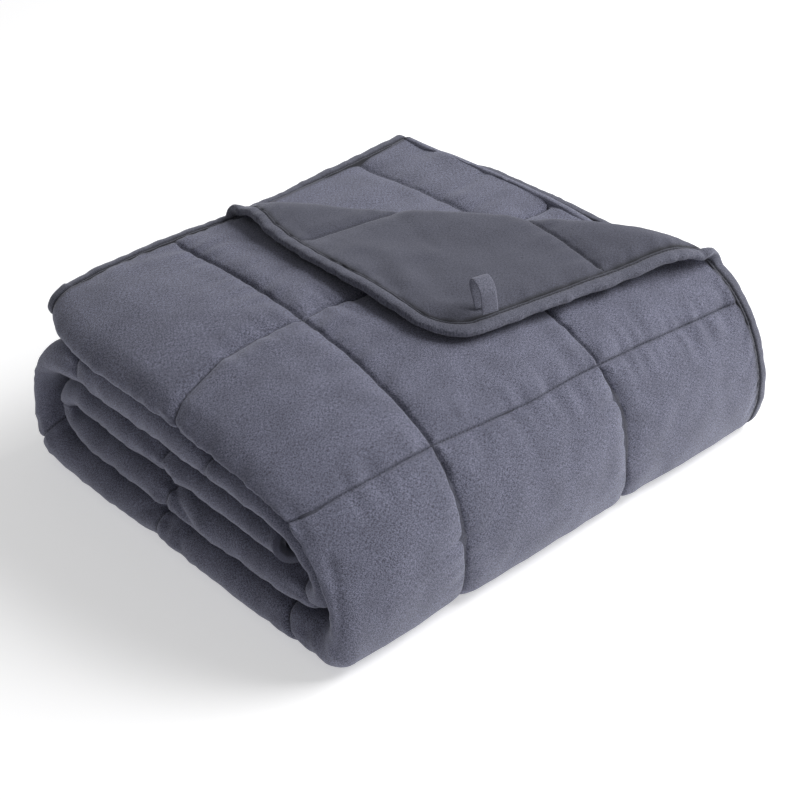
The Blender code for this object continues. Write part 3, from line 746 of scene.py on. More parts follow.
# ---- meshes ---------------------------------------------------------------------------------------
def normals_of(points: Array) -> Array:
    """Unit normals, facing out, of a grid of points that closes in its first direction.

    The normal is the cross product of the central differences in the two directions. Where
    most of them face the middle of their outline, all are turned about.
    """
    round_it = np.roll(points, -1, axis=0) - np.roll(points, 1, axis=0)
    normal = unit(np.cross(round_it, np.gradient(points, axis=1)))
    outward = points - points.mean(axis=0)
    return normal * np.sign(np.sum(outward * normal, axis=-1).mean())


def paced(knots: tuple[float, ...], near: float, far: float, reach: float) -> Array:
    """Values from the first knot to the last, closely spaced beside each inner knot.

    Between two knots the step grows from near to far within reach of either. Values are where
    the sum of 1 / step passes equal shares, so that every knot is met exactly.

    Args:
        knots: values in order, either way.
        near: step beside a knot.
        far: step away from the knots.
        reach: how far a knot's influence goes.

    Returns:
        The values.
    """
    pieces = [np.array(knots[:1])]
    for first, last in zip(knots[:-1], knots[1:]):
        fine = np.linspace(0.0, abs(last - first), PACE_SAMPLES)
        gap = np.minimum(fine, fine[-1] - fine)
        step = near + (far - near) * smooth_step(gap / reach)
        count = np.concatenate([[0.0], np.cumsum(np.diff(fine) * 2.0 / (step[1:] + step[:-1]))])
        wanted = np.linspace(0.0, count[-1], int(math.ceil(count[-1])) + 1)[1:]
        pieces.append(first + math.copysign(1.0, last - first) * np.interp(wanted, count, fine))
    return np.concatenate(pieces)


def lengths_along(points: Array) -> Array:
    """Distance of each point of a line from its first point, measured along the line."""
    return np.concatenate([[0.0], np.cumsum(np.linalg.norm(np.diff(points, axis=0), axis=1))])


def in_scene(name: str, data: bpy.types.ID) -> bpy.types.Object:
    """Adds an object with this data to the scene."""
    piece = bpy.data.objects.new(name, data)
    bpy.context.scene.collection.objects.link(piece)
    return piece


def tube_quads(count: int, stations: int, start: int = 0) -> Array:
    """Faces of a tube of outlines: corner numbers (i, j), (i, j+1), (i+1, j+1), (i+1, j).

    Args:
        count: points round each outline.
        stations: number of outlines.
        start: number of the first point.

    Returns:
        Corner numbers, (faces, 4).
    """
    i, j = np.meshgrid(np.arange(count), np.arange(stations - 1), indexing="ij")
    after = (i + 1) % count
    corners = (i * stations + j, i * stations + j + 1, after * stations + j + 1, after * stations + j)
    return start + np.stack(corners, -1).reshape(-1, 4)


class MeshParts:
    """Grids gathered into one mesh, with the place on the cloth kept at each point."""

    def __init__(self) -> None:
        """Starts empty."""
        self.points: list[Array] = []
        self.cloth: list[Array] = []
        self.shade: list[Array] = []
        self.faces: list[Array] = []
        self.caps: list[list[int]] = []
        self.count = 0

    def keep(self, points: Array, cloth: Array, shade: Array) -> None:
        """Keeps points, (..., 3), with their place on the cloth and how much painted shade darkens them."""
        self.points.append(points.reshape(-1, 3))
        self.cloth.append(np.broadcast_to(cloth, points.shape).reshape(-1, 3))
        self.shade.append(np.broadcast_to(shade, points.shape[:-1]).ravel())
        self.count += len(self.points[-1])

    def add_tube(self, points: Array, cloth: Array, shade: Array, paired: int = 1) -> None:
        """Adds a tube of outlines, its first direction going round, with caps on its ends.

        At the first end, the outline's first points are joined to its last ones by quads, and
        only the rest is one cap. This closes a thin layer's edge that isn't level.

        Args:
            points: (round, stations, 3).
            cloth: place on the cloth at each point, (round, stations, 3).
            shade: how much painted shade darkens a point, in a seam or binding groove, 0 to 1.
            paired: how many points at either end of the outline are joined like that.
        """
        count, stations = points.shape[:2]
        self.faces.append(tube_quads(count, stations, self.count))
        first = self.count + np.arange(count) * stations
        near, far = first[: paired - 1], first[::-1][: paired - 1]
        after_near, after_far = first[1:paired], first[::-1][1:paired]
        self.faces.append(np.stack([near, after_near, after_far, far], -1))
        self.caps.append(first[paired - 1 : count - paired + 1].tolist())
        self.caps.append((first + stations - 1)[::-1].tolist())
        self.keep(points, cloth, shade)

    def add_copies(self, template: Array, faces: Array, origins: Array, axes: Array, cloth: Array) -> None:
        """Adds copies of one small closed shape, each with its own place and axes.

        A copy's point is its origin plus the template's coordinates times its three axes.

        Args:
            template: (points, 3).
            faces: corner numbers, (faces, 4).
            origins: (copies, 3).
            axes: (copies, 3, 3), one axis a row.
            cloth: place on the cloth for each copy, (copies, 3).
        """
        placed = origins[:, None, :] + np.einsum("pk,nkc->npc", template, axes)
        starts = self.count + np.arange(len(origins)) * len(template)
        self.faces.append((faces[None] + starts[:, None, None]).reshape(-1, faces.shape[1]))
        self.keep(placed, cloth[:, None], 0.0)

    def build(self, name: str, finish: "ClothFinish") -> bpy.types.Object:
        """Makes the object, closed, facing out and dressed.

        Args:
            name: the piece's name.
            finish: the cloth or thread that it is made of.

        Returns:
            The new object, in the scene.
        """
        faces = np.concatenate(self.faces).tolist() + self.caps
        mesh = bpy.data.meshes.new(name)
        mesh.from_pydata((np.concatenate(self.points) + STAND).tolist(), [], faces)
        place = mesh.attributes.new("cloth", "FLOAT_VECTOR", "POINT")
        place.data.foreach_set("vector", np.concatenate(self.cloth).astype(np.float32).ravel())
        # The "sewn" attribute holds painted shade for the seam and binding grooves and the sheet's rim.
        shade = mesh.attributes.new("sewn", "FLOAT", "POINT")
        shade.data.foreach_set("value", np.concatenate(self.shade).astype(np.float32))
        edited = bmesh.new()
        edited.from_mesh(mesh)
        wide = [face for face in edited.faces if len(face.verts) > 4]
        bmesh.ops.triangulate(edited, faces=wide, ngon_method="BEAUTY")
        bmesh.ops.recalc_face_normals(edited, faces=edited.faces)
        edited.to_mesh(mesh)
        edited.free()
        mesh.shade_smooth()
        mesh.materials.append(finish.material())
        log.info("%s: %d points, %d faces", name, len(mesh.vertices), len(mesh.polygons))
        return in_scene(name, mesh)


@dataclass(frozen=True)
class SeamLine:
    """A line on a finished surface that is sewn."""

    points: Array
    normals: Array
    places: Array
    cloth: Array

    def read(self, values: Array, where: Array) -> Array:
        """Values kept along the line, read at other places along it."""
        order = np.argsort(self.places)
        return np.stack([np.interp(where, self.places[order], part) for part in values[order].T], -1)


# ---- shader expressions ---------------------------------------------------------------------------
def math_operator(operation: str, turned: bool = False) -> "Callable[[Value, Value | float], Value]":
    """Makes an operator of Value that adds a Math node.

    Args:
        operation: the node's operation.
        turned: whether the two values go in the other way round.

    Returns:
        The operator.
    """

    def combine(self: "Value", other: "Value | float") -> "Value":
        """Adds the Math node on the two values."""
        values = [other, self] if turned else [self, other]
        return self.tree.node("ShaderNodeMath", {"operation": operation}, values)

    return combine


class Value:
    """A number socket that can be used in a Python expression."""

    def __init__(self, tree: "Finish", socket: bpy.types.NodeSocket) -> None:
        """Wraps a socket of a finish's node tree."""
        self.tree, self.socket = tree, socket

    __add__ = __radd__ = math_operator("ADD")
    __mul__ = __rmul__ = math_operator("MULTIPLY")
    __sub__ = math_operator("SUBTRACT")
    __rsub__ = math_operator("SUBTRACT", turned=True)

    def soft(self, low: float, high: float) -> "Value":
        """0 below low, 1 above high and a soft step between."""
        settings = {"interpolation_type": "SMOOTHSTEP", "clamp": True}
        inputs = {"Value": self, "From Min": low, "From Max": high}
        return self.tree.node("ShaderNodeMapRange", settings, inputs)

    def wave(self) -> "Value":
        """Sine of the value."""
        return self.tree.node("ShaderNodeMath", {"operation": "SINE"}, [self])


class Finish:
    """A material's node tree, built from expressions."""

    def __init__(self, name: str) -> None:
        """Makes an empty material with one Principled shader."""
        self.material = bpy.data.materials.new(name)
        self.material.use_nodes = True
        self.nodes = self.material.node_tree.nodes
        self.links = self.material.node_tree.links
        self.shader = self.nodes["Principled BSDF"]

    def set(self, socket: bpy.types.NodeSocket, value: object) -> None:
        """Links or sets one input socket."""
        if isinstance(value, Value):
            self.links.new(value.socket, socket)
        elif isinstance(value, tuple) and len(value) == 3 and socket.type == "RGBA":
            socket.default_value = (*value, 1.0)
        else:
            socket.default_value = value

    def dress(self, inputs: dict[str, object]) -> bpy.types.Material:
        """Links or sets the shader's sockets by name, and gives back the material."""
        for name, value in inputs.items():
            self.set(self.shader.inputs[name], value)
        return self.material

    def node(self, kind: str, settings: dict, inputs: "dict | list", output: "str | int" = 0) -> Value:
        """Adds a node.

        Args:
            kind: the node's type.
            settings: its own settings, set first.
            inputs: values or links, by socket name or in order.
            output: which output is wanted.

        Returns:
            That output, wrapped.
        """
        made = self.nodes.new(kind)
        for name, value in settings.items():
            setattr(made, name, value)
        pairs = inputs.items() if isinstance(inputs, dict) else enumerate(inputs)
        for key, value in pairs:
            self.set(made.inputs[key], value)
        return Value(self, made.outputs[output])

    def mix(self, share: "Value | float", first: object, second: object) -> Value:
        """Blend of two colours, at a Mix node's inputs and output for colour."""
        inputs = {0: share, 6: first, 7: second}
        return self.node("ShaderNodeMix", {"data_type": "RGBA"}, inputs, 2)

    def noise(self, vector: Value, scale: float, detail: float = 2.0, rough: float = 0.5) -> Value:
        """Noise texture's value, 0 to 1, on a vector."""
        inputs = {"Vector": vector, "Scale": scale, "Detail": detail, "Roughness": rough}
        return self.node("ShaderNodeTexNoise", {}, inputs)

    def stretched(self, vector: Value, scale: Triple) -> Value:
        """The vector times a scale for each of its directions."""
        return self.node("ShaderNodeVectorMath", {"operation": "MULTIPLY"}, [vector, scale])


@dataclass(frozen=True)
class ClothFinish:
    """Brushed plain weave in a slate grey: heathered colour, fine weave and lint.

    A scale is how many features a noise has to a metre, a pair is where a soft step begins and
    ends, and a share says how much one thing adds to another.
    """

    name: str
    colour: Triple
    light: Triple
    reverse: Triple | None = None
    weave: float = 1150.0
    fibre_scale: float = 2100.0
    fibre_stretch: float = 0.25
    fleck_scale: float = 1800.0
    cloud_scale: float = 48.0
    heather_shares: Triple = (0.30, 0.30, 0.40)
    heather_ends: Pair = (0.43, 0.57)
    cloud_ends: Pair = (0.35, 0.7)
    side_ends: Pair = (-0.2, 0.2)
    reverse_light: float = 0.44
    cloud_share: float = 0.22
    cloud_dark: float = 0.72
    # Painted shade in the seam and binding grooves: how much it darkens at most, and its colour as a part of
    # the base.
    groove_shade_share: float = 0.95
    groove_shade_dark: float = 0.12
    bump: float = 0.35
    bump_height: float = 0.0009
    bump_shares: tuple[float, float, float, float] = (0.10, 0.16, 0.25, 0.9)
    roughness: float = 0.92
    roughness_spread: float = 0.06
    sheen: float = 0.35
    sheen_roughness: float = 0.5
    sheen_tint: Triple = (0.80, 0.82, 0.95)

    def material(self) -> bpy.types.Material:
        """Makes the material.

        Colour is the base blended with a lighter fibre colour by fine noise stretched along
        warp and weft, darker on the sheet's reverse and in soft clouds, with painted shade in
        the seam and binding grooves. Bump adds the weave's two sine ribs, lint and soft crumple.

        Returns:
            The new material.
        """
        made = Finish(self.name)
        cloth = made.node("ShaderNodeAttribute", {"attribute_name": "cloth"}, {}, "Vector")
        split = made.nodes.new("ShaderNodeSeparateXYZ")
        made.set(split.inputs[0], cloth)
        across, along, side = (Value(made, output) for output in split.outputs)
        sewn = made.node("ShaderNodeAttribute", {"attribute_name": "sewn"}, {}, "Fac")
        stretches = ((1.0, self.fibre_stretch, 1.0), (self.fibre_stretch, 1.0, 1.0))
        warp, weft = (made.noise(made.stretched(cloth, by), self.fibre_scale, 1.0) for by in stretches)
        fleck = made.noise(cloth, self.fleck_scale, 1.0, 0.6)
        cloud = made.noise(cloth, self.cloud_scale, 3.0)
        shares = self.heather_shares
        heather = (warp * shares[0] + weft * shares[1] + fleck * shares[2]).soft(*self.heather_ends)
        front = made.mix(heather, self.colour, self.light)
        under_light = tuple(self.reverse_light * part for part in self.light)
        back = made.mix(heather, self.reverse or self.colour, under_light)
        lit = made.mix(side.soft(*self.side_ends), back, front)
        clouded = cloud.soft(*self.cloud_ends) * self.cloud_share
        dusk = made.mix(clouded, lit, tuple(self.cloud_dark * part for part in self.colour))
        # Painted shade: the "sewn" attribute darkens the colour in the seam and binding grooves.
        dark = made.mix(sewn * self.groove_shade_share, dusk, tuple(self.groove_shade_dark * part for part in self.colour))
        rib_u, rib_v = ((way * self.weave * 2.0 * math.pi).wave() for way in (across, along))
        shares = self.bump_shares
        height = rib_u * rib_v * shares[0] + heather * shares[1] + fleck * shares[2] + cloud * shares[3]
        inputs = {"Strength": self.bump, "Distance": self.bump_height, "Height": height}
        return made.dress({
            "Base Color": dark,
            "Normal": made.node("ShaderNodeBump", {}, inputs),
            "Roughness": heather * self.roughness_spread + (self.roughness - self.roughness_spread / 2.0),
            "Sheen Weight": self.sheen,
            "Sheen Roughness": self.sheen_roughness,
            "Sheen Tint": self.sheen_tint,
        })


# ---- the quilted sheet ----------------------------------------------------------------------------
@dataclass
class QuiltedSheet:
    """The quilted sheet, folded in thirds, rolled over flat, its corner turned back.

    A pace is the step beside a seam, the step away from it and how far the seam's influence
    goes. Of two paces or numbers of points, the first is for the top and front and the second
    for the stretch that is mostly hidden. A pair named _cloth is the place on the cloth where a
    fold starts and how much cloth it takes.
    """

    folding: Folding
    quilting: Quilting
    finish: ClothFinish
    face_paces: tuple[tuple[float, ...], ...] = ((0.0009, 0.0030, 0.012), (0.0035, 0.020, 0.030))
    station_paces: tuple[tuple[float, ...], ...] = ((0.0009, 0.0030, 0.010), (0.0018, 0.0056, 0.016))
    inner_pace: tuple[float, ...] = (0.0013, 0.0046, 0.012)
    seams_shown: int = 3
    anchor: float = 0.036
    turned_from: float = 0.131
    hidden_back: tuple[float, ...] = (0.052, 0.078, 0.105)
    corner_draw: float = 2.4
    turned_over: float = 0.015
    reverse_relief: float = 0.6
    edge_relief: float = 0.25
    edge_relief_over: float = 0.012
    edge_pucker: float = 0.0013
    edge_pucker_size: Pair = (0.0075, 0.02)
    edge_pucker_bell: Pair = (0.005, 0.008)
    level_step: Pair = (0.006, 0.012)
    flat_under: float = 0.012
    fold_points: tuple[int, int] = (24, 26)
    fold_cloth: Pair = (0.014, 0.046)
    under_inside: Pair = (0.045, 0.010)
    right_points: tuple[int, int] = (11, 9)
    right_cloth: Pair = (-0.41, 0.03)
    right_relief: float = 0.6
    inner_seam: float = 0.3115
    inner_shown: float = 0.10
    inner_relief: float = 0.8
    inner_ahead: float = 0.0195
    inner_ahead_from: float = 0.012
    tip_depth: float = 0.003
    hidden_x: Pair = (0.06, 0.34)
    back_cloth: float = 0.01
    seen_from: float = -0.035
    jump: float = 0.03
    fewest_points: int = 5
    rim_shade: float = 0.0022
    cut_size: Pair = (1.22, 1.83)
    seams: list[SeamLine] = field(default_factory=list)

    def face_places(self, fine: bool) -> Array:
        """Places across the sheet where the outline has a point on the outer layer."""
        sizes = self.folding.sizes
        knots = (sizes.sheet_end, sizes.right_seam, self.turned_from, sizes.left_seam, self.anchor)
        return paced(knots, *self.face_paces[not fine])

    def stations(self, fine: bool) -> Array:
        """Places along the band that have an outline, one on every seam."""
        sizes, length, shown = self.folding.sizes, self.folding.course.length, self.seams_shown
        seams = [number * sizes.square_along for number in range(1, int(length / sizes.square_along) + 1)]
        knots = (sizes.binding_width, *seams[:shown]) if fine else (*seams[shown - 1 :], length)
        return paced(knots, *self.station_paces[not fine])

    def corner_squeeze(self, across: Array, along: Array) -> Array:
        """Draws the outline's points in to the sheet's rounded corner.

        Args:
            across: places across the sheet, (points, 1).
            along: places along it, (stations).

        Returns:
            Places across, (points, stations).
        """
        sizes = self.folding.sizes
        radius = sizes.rim_radius
        to_centre = np.maximum(radius - (along - sizes.binding_width), 0.0)
        edge = sizes.sheet_end - radius + np.sqrt(np.maximum(radius**2 - to_centre**2, 0.0))
        start = sizes.sheet_end - self.corner_draw * radius
        share = (edge - start) / (sizes.sheet_end - start)
        return np.where(across > start, start + (across - start) * share, across + 0.0 * along)

    def layer_side(self, across: Array, along: Array, side: Side) -> tuple[Array, Array, Array]:
        """One side of the outer layer, with its relief, turned corner included.

        Args:
            across: places across the sheet, (points, stations).
            along: places along it, (stations).
            side: the face or the reverse.

        Returns:
            Points, place on the cloth, and how much more relief they take (none).
        """
        folding, is_face = self.folding, side is Side.FACE
        along = np.broadcast_to(along, across.shape)
        turned = folding.past_at(across, along) / self.turned_over
        shows = smooth_step(1.0 - turned if is_face else turned)
        gap = folding.edge_gap(across, along)
        held = self.edge_relief + (1.0 - self.edge_relief) * smooth_step(gap / self.edge_relief_over)
        strength = 1.0 if is_face else self.reverse_relief
        raised = self.quilting.relief(across, along) * shows * strength * held
        place, turn = (across + along) / self.edge_pucker_size[0], gap / self.edge_pucker_size[1] + 2.2
        drawn = self.quilting.fine.at(place, turn) * bell(gap, *self.edge_pucker_bell)
        raised += self.edge_pucker * drawn * shows
        level = smooth_step(folding.outer_place(across, along, 0.0)[..., 2], *self.level_step)
        raised = np.where(level < 1.0, np.minimum(raised, raised * level), raised)
        points = folding.outer_place(across, along, -side.value * (folding.half_at(across, along) + raised))
        cloth = np.stack([across, along, np.full_like(across, side.value)], -1)
        return points, cloth, np.zeros_like(across)

    def inner_turns(self, along: Array, fine: bool) -> list[tuple[Array, Array, Array]]:
        """The rest of the outline: left fold, under layer, right fold, inner layer and back.

        Args:
            along: places along the sheet, (stations).
            fine: whether this is the top and front stretch.

        Returns:
            For each stretch: points, place on the cloth and amount of relief.
        """
        sizes, folding = self.folding.sizes, self.folding
        left = folding.course.ends(folding.course.row_at(folding.drifted(0.0, along)[1]))[2] + sizes.left_fold
        inner_from, inner_to = sizes.inner_layer
        under_from, flat_end = sizes.under_layer[0], sizes.flat_end
        seams = (self.inner_ahead_from, sizes.square_along, 2.0 * sizes.square_along)
        stretches = []

        def put(
            x: Array, share: Array, across: Array, amount: float | None = None,
            lower: Array = 1.0, ahead: float = 0.0,
        ) -> None:
            """Adds one stretch; its values are broadcast to (points, stations).

            Args:
                x: place across the pile.
                share: share of the way from the band's outer face to its inner face.
                across: place on the cloth.
                amount: amount of relief on the cloth's face; with none, its reverse shows.
                lower: how much of the stagger it takes.
                ahead: how far its first seam lies nearer to the band's end.
            """
            across = across + 0.0 * along
            drifted = folding.drifted(across, along)[1] - np.interp(along, seams, (0.0, ahead, 0.0))
            points = folding.band_place(x, drifted, share, lower)
            side = Side.REVERSE if amount is None else Side.FACE
            cloth = np.stack(np.broadcast_arrays(across, along, side.value), -1)
            amounts = np.full(points.shape[:2], amount or 0.0)
            stretches.append((points, np.broadcast_to(cloth, points.shape), amounts))

        turn, x, share = half_turn(self.fold_points[not fine], left, -sizes.left_fold, 0.0, 1.0)
        put(x, share, self.fold_cloth[0] - self.fold_cloth[1] * turn, 1.0, smooth_step(share))
        under = np.linspace(self.under_inside[0], flat_end - self.under_inside[1], 7)[:, None]
        put(under, 1.0, -self.fold_cloth[1] - under, 0.0)
        turn, x, share = half_turn(self.right_points[not fine], flat_end, sizes.right_fold, 1.0, inner_from)
        put(x, share, self.right_cloth[0] - self.right_cloth[1] * turn, self.right_relief)
        knots = (flat_end, self.inner_seam, self.inner_seam - sizes.square_across, self.inner_shown)
        inner = paced(knots, *self.inner_pace) if fine else np.linspace(flat_end, self.inner_shown, 8)
        inner = inner[:, None]
        across = inner + sizes.right_seam - self.inner_seam
        put(inner, inner_from, across, self.inner_relief, ahead=self.inner_ahead)
        tip = np.array([[1.0], [0.0], [1.0]]) * self.tip_depth + sizes.inner_edge
        put(tip, np.linspace(inner_from, inner_to, 3)[:, None], tip, 0.0)
        hidden = np.linspace(*self.hidden_x, 4)[:, None]
        crease = np.array([[flat_end]])
        middle = (inner_to + under_from) / 2.0
        for x, share in ((hidden, inner_to), (crease, middle), (hidden[::-1], under_from)):
            put(x, share, x)
        inward = sizes.left_fold_inside - sizes.left_fold
        _, x, share = half_turn(7, left, inward, under_from, 1.0 - under_from)
        put(x, share, self.back_cloth, lower=smooth_step(share))
        return stretches

    def tube(self, fine: bool) -> tuple[Array, Array, int]:
        """One stretch of the folded sheet as a tube of outlines, with its relief.

        The outer layer is displaced through its own thickness, the rest along the grid's
        normals. Sewn lines are kept from the grid lines that lie on seams.

        Args:
            fine: whether this is the top and front stretch.

        Returns:
            Points, place on the cloth, and how many points of the outline pair up at its ends.
        """
        along, places = self.stations(fine), self.face_places(fine)
        paired = int(np.sum(places > self.turned_from - SAME_PLACE))
        face = self.corner_squeeze(places[:, None], along)
        back = self.corner_squeeze(np.array([*self.hidden_back, *places[:paired][::-1]])[:, None], along)
        stretches = [self.layer_side(face, along, Side.FACE), *self.inner_turns(along, fine)]
        stretches.append(self.layer_side(back, along, Side.REVERSE))
        points, cloth, amount = (np.concatenate(parts) for parts in zip(*stretches))
        raised = self.quilting.relief(cloth[..., 0], cloth[..., 1]) * amount
        raised = np.where(points[..., 2] < self.flat_under, np.minimum(raised, 0.0), raised)
        points = points + normals_of(points) * raised[..., None]
        points[..., 2] = np.maximum(points[..., 2], 0.0)
        self.keep_seams(points, cloth)
        return points, cloth, paired

    def keep_seams(self, points: Array, cloth: Array) -> None:
        """Keeps the grid lines that lie on a seam and can be seen.

        Args:
            points: the grid's points, (round, stations, 3).
            cloth: place on the cloth at each.
        """
        sizes, out, along = self.folding.sizes, normals_of(points), cloth[0, :, 1]
        for number in range(1, int(along[-1] / sizes.square_along) + 1):
            for column in np.flatnonzero(np.abs(along - number * sizes.square_along) < SAME_PLACE):
                seen = cloth[:, column, 0] > self.seen_from
                self.split_line(points[seen, column], out[seen, column], cloth[seen, column], 0)
        for place in (sizes.right_seam, sizes.left_seam):
            for row in np.flatnonzero(np.abs(cloth[:, -1, 0] - place) < SAME_PLACE):
                self.split_line(points[row], out[row], cloth[row], 1)

    def split_line(self, points: Array, out: Array, cloth: Array, axis: int) -> None:
        """Adds a sewn line, cut where it jumps from one stretch of cloth to another."""
        jump = np.linalg.norm(np.diff(points, axis=0), axis=1) > self.jump
        turned = np.abs(np.diff(cloth[:, 2])) > 0.5
        for part in np.split(np.arange(len(points)), np.flatnonzero(jump | turned) + 1):
            if len(part) >= self.fewest_points:
                self.seams.append(SeamLine(points[part], out[part], cloth[part, axis], cloth[part]))

    def build(self) -> bpy.types.Object:
        """Makes the sheet's mesh from its two stretches, with painted shade in its grooves and at its rim.

        Returns:
            The sheet.
        """
        gathered = MeshParts()
        for fine in (True, False):
            points, cloth, paired = self.tube(fine)
            place = (cloth[..., 0], cloth[..., 1])
            # Painted shade at the cut edge, in the groove where the binding lies over the sheet.
            rim = bell(self.folding.edge_gap(*place) / self.rim_shade) if fine else 0.0
            shade = np.maximum(self.quilting.shade(*place), rim)
            gathered.add_tube(points, cloth, shade, paired if fine else 1)
        return gathered.build("quilted_sheet", self.finish)


# ---- the edge binding -----------------------------------------------------------------------------
@dataclass
class EdgeBinding:
    """The folded strip sewn round the sheet's cut edge, wherever that edge shows.

    A puff or a wave is its height, the size of one swelling and the part of the unevenness it
    takes. Puffs are shares of the thickness, and waves are added to the width.
    """

    folding: Folding
    finish: ClothFinish
    thickness: float = 0.0064
    overlap: float = 0.0016
    step: float = 0.0015
    profile_pace: Triple = (0.0005, 0.0016, 0.0030)
    roundness: float = 2.6
    groove_at: float = 0.0012
    groove_depth: float = 0.42
    groove_reach: float = 0.0008
    # Painted shade: its reach about the sewn groove, and where the inner rim over the sheet starts to darken,
    # in mm.
    groove_shade_reach: float = 0.0011
    rim_shade_from_mm: float = 0.3
    starts_at: float = 0.027
    inner_until: float = 0.060
    end_rounding: float = 0.0040
    puffs: tuple[tuple[float, ...], ...] = ((0.16, 0.007, 1.5), (0.12, 0.027, 4.5))
    waves: tuple[tuple[float, ...], ...] = ((0.0010, 0.016, 8.5), (0.0006, 0.006, 3.5))
    wave_from: float = 0.006
    uneven: Unevenness = field(default_factory=lambda: Unevenness(53))
    seams: list[SeamLine] = field(default_factory=list)

    def profile(self) -> tuple[Array, Array]:
        """Outline of the strip: outward from the cut edge, and offset through the cloth.

        It is a superellipse with a groove where it is sewn, near its inner side.

        Returns:
            Outward and offset values, in metres.
        """
        width, groove = self.folding.sizes.binding_width + self.overlap, self.overlap + self.groove_at
        places = paced((0.0, groove, width), *self.profile_pace)
        centred = np.abs(2.0 * places / width - 1.0)
        half = np.maximum(1.0 - centred**self.roundness, 0.0) ** (1 / self.roundness) * self.thickness / 2.0
        half *= 1.0 - self.groove_depth * bell(places - self.overlap, self.groove_at, self.groove_reach)
        outward = np.concatenate([places, places[-2:0:-1]]) - self.overlap
        return outward, np.concatenate([half, -half[-2:0:-1]])

    def layer_course(self) -> tuple[Array, Array, Array]:
        """The outer layer's bound edge: along the band, round the corner, along the end.

        Returns:
            Cut edge's points, direction outward and direction through the cloth, each
            (stations, 3).
        """
        sizes, folding, radius = self.folding.sizes, self.folding, self.folding.sizes.rim_radius
        centre = (sizes.sheet_end - radius, sizes.binding_width + radius)
        side = np.arange(folding.course.length, centre[1], -self.step)
        turn = np.linspace(0.0, math.pi / 2.0, 28)
        end = np.arange(centre[0] - self.step, self.starts_at, -self.step)
        none_u, none_v = np.zeros_like(side), np.zeros_like(end)
        out_u = np.concatenate([none_u + 1.0, np.cos(turn), none_v])
        out_v = -np.concatenate([none_u, np.sin(turn), none_v + 1.0])
        across = np.concatenate([none_u + sizes.sheet_end, centre[0] + radius * np.cos(turn), end])
        along = np.concatenate([side, centre[1] - radius * np.sin(turn), none_v + sizes.binding_width])
        points = folding.outer_place(across, along, 0.0)
        out = unit(points - folding.outer_place(across - 2.0 * MM * out_u, along - 2.0 * MM * out_v, 0.0))
        through_it = folding.outer_place(across, along, MM) - points
        return points, out, unit(through_it - out * np.sum(out * through_it, axis=1, keepdims=True))

    def end_course(self) -> tuple[Array, Array, Array]:
        """The bound free end of the layers below: left fold, under layer, inner layer.

        Returns:
            As layer_course.
        """
        sizes, folding = self.folding.sizes, self.folding
        left = folding.course.ends(np.array([0.0]))[2][0] + sizes.left_fold
        layers = (sizes.outer_layer, sizes.inner_layer, sizes.under_layer)
        outer, within, under = (sum(layer) / 2.0 for layer in layers)
        straight = sizes.flat_end - self.end_rounding
        inward = sizes.left_fold_inside / 2.0 - sizes.left_fold
        _, fold_x, fold_share = half_turn(26, left, inward, outer, under)
        _, back_x, back_share = half_turn(14, sizes.flat_end, self.end_rounding, under, within)
        stretches = (
            (fold_x[:, 0], fold_share[:, 0]),
            (np.arange(self.starts_at, straight, self.step), under),
            (back_x[:, 0], back_share[:, 0]),
            (np.arange(straight, self.inner_until, -self.step), within),
        )
        x, share = (np.concatenate(parts) for parts in zip(*(np.broadcast_arrays(*row) for row in stretches)))
        lower = np.where(np.arange(len(x)) < len(fold_x), smooth_step(share), 1.0)
        points = folding.band_place(x, np.full_like(x, sizes.binding_width), share, lower)
        ahead = unit(np.gradient(points, axis=0) * (1.0, 0.0, 1.0))
        out = np.broadcast_to((0.0, 1.0, 0.0), points.shape)
        return points, out, np.stack([-ahead[:, 2], np.zeros(len(x)), ahead[:, 0]], -1)

    def build(self) -> bpy.types.Object:
        """Makes the strip's mesh and dresses it.

        A point is the cut edge plus the profile's outward and offset values along the two
        directions, with the strip's width and thickness uneven along its length.

        Returns:
            The binding.
        """
        points, out, side = (np.concatenate(parts) for parts in zip(self.layer_course(), self.end_course()))
        along = lengths_along(points)
        outward, offset = self.profile()
        puffed, wave = (
            sum(height * self.uneven.at(along / size, place) for height, size, place in rows)
            for rows in (self.puffs, self.waves)
        )
        beyond = outward[:, None] + smooth_step(outward / self.wave_from)[:, None] * wave
        across = offset[:, None] * (1.0 + puffed)
        placed = points + out * beyond[..., None] + side * across[..., None]
        cloth = np.stack(np.broadcast_arrays(outward[:, None], along, 1.0), -1) + 0.0 * placed
        normals = normals_of(placed)
        for half in (offset > 0.0, offset < 0.0):
            row = int(np.argmin(np.abs(outward - self.groove_at) + 1.0 * ~half))
            self.seams.append(SeamLine(placed[row], normals[row], along, cloth[row]))
        gathered = MeshParts()
        # Painted shade: dark in the sewn groove and along the inner rim that lies over the sheet.
        sewn = bell(outward, self.groove_at, self.groove_shade_reach)
        shade = np.maximum(sewn, smooth_step(self.rim_shade_from_mm - outward / MM))
        gathered.add_tube(placed, cloth, shade[:, None])
        return gathered.build("binding_strip", self.finish)


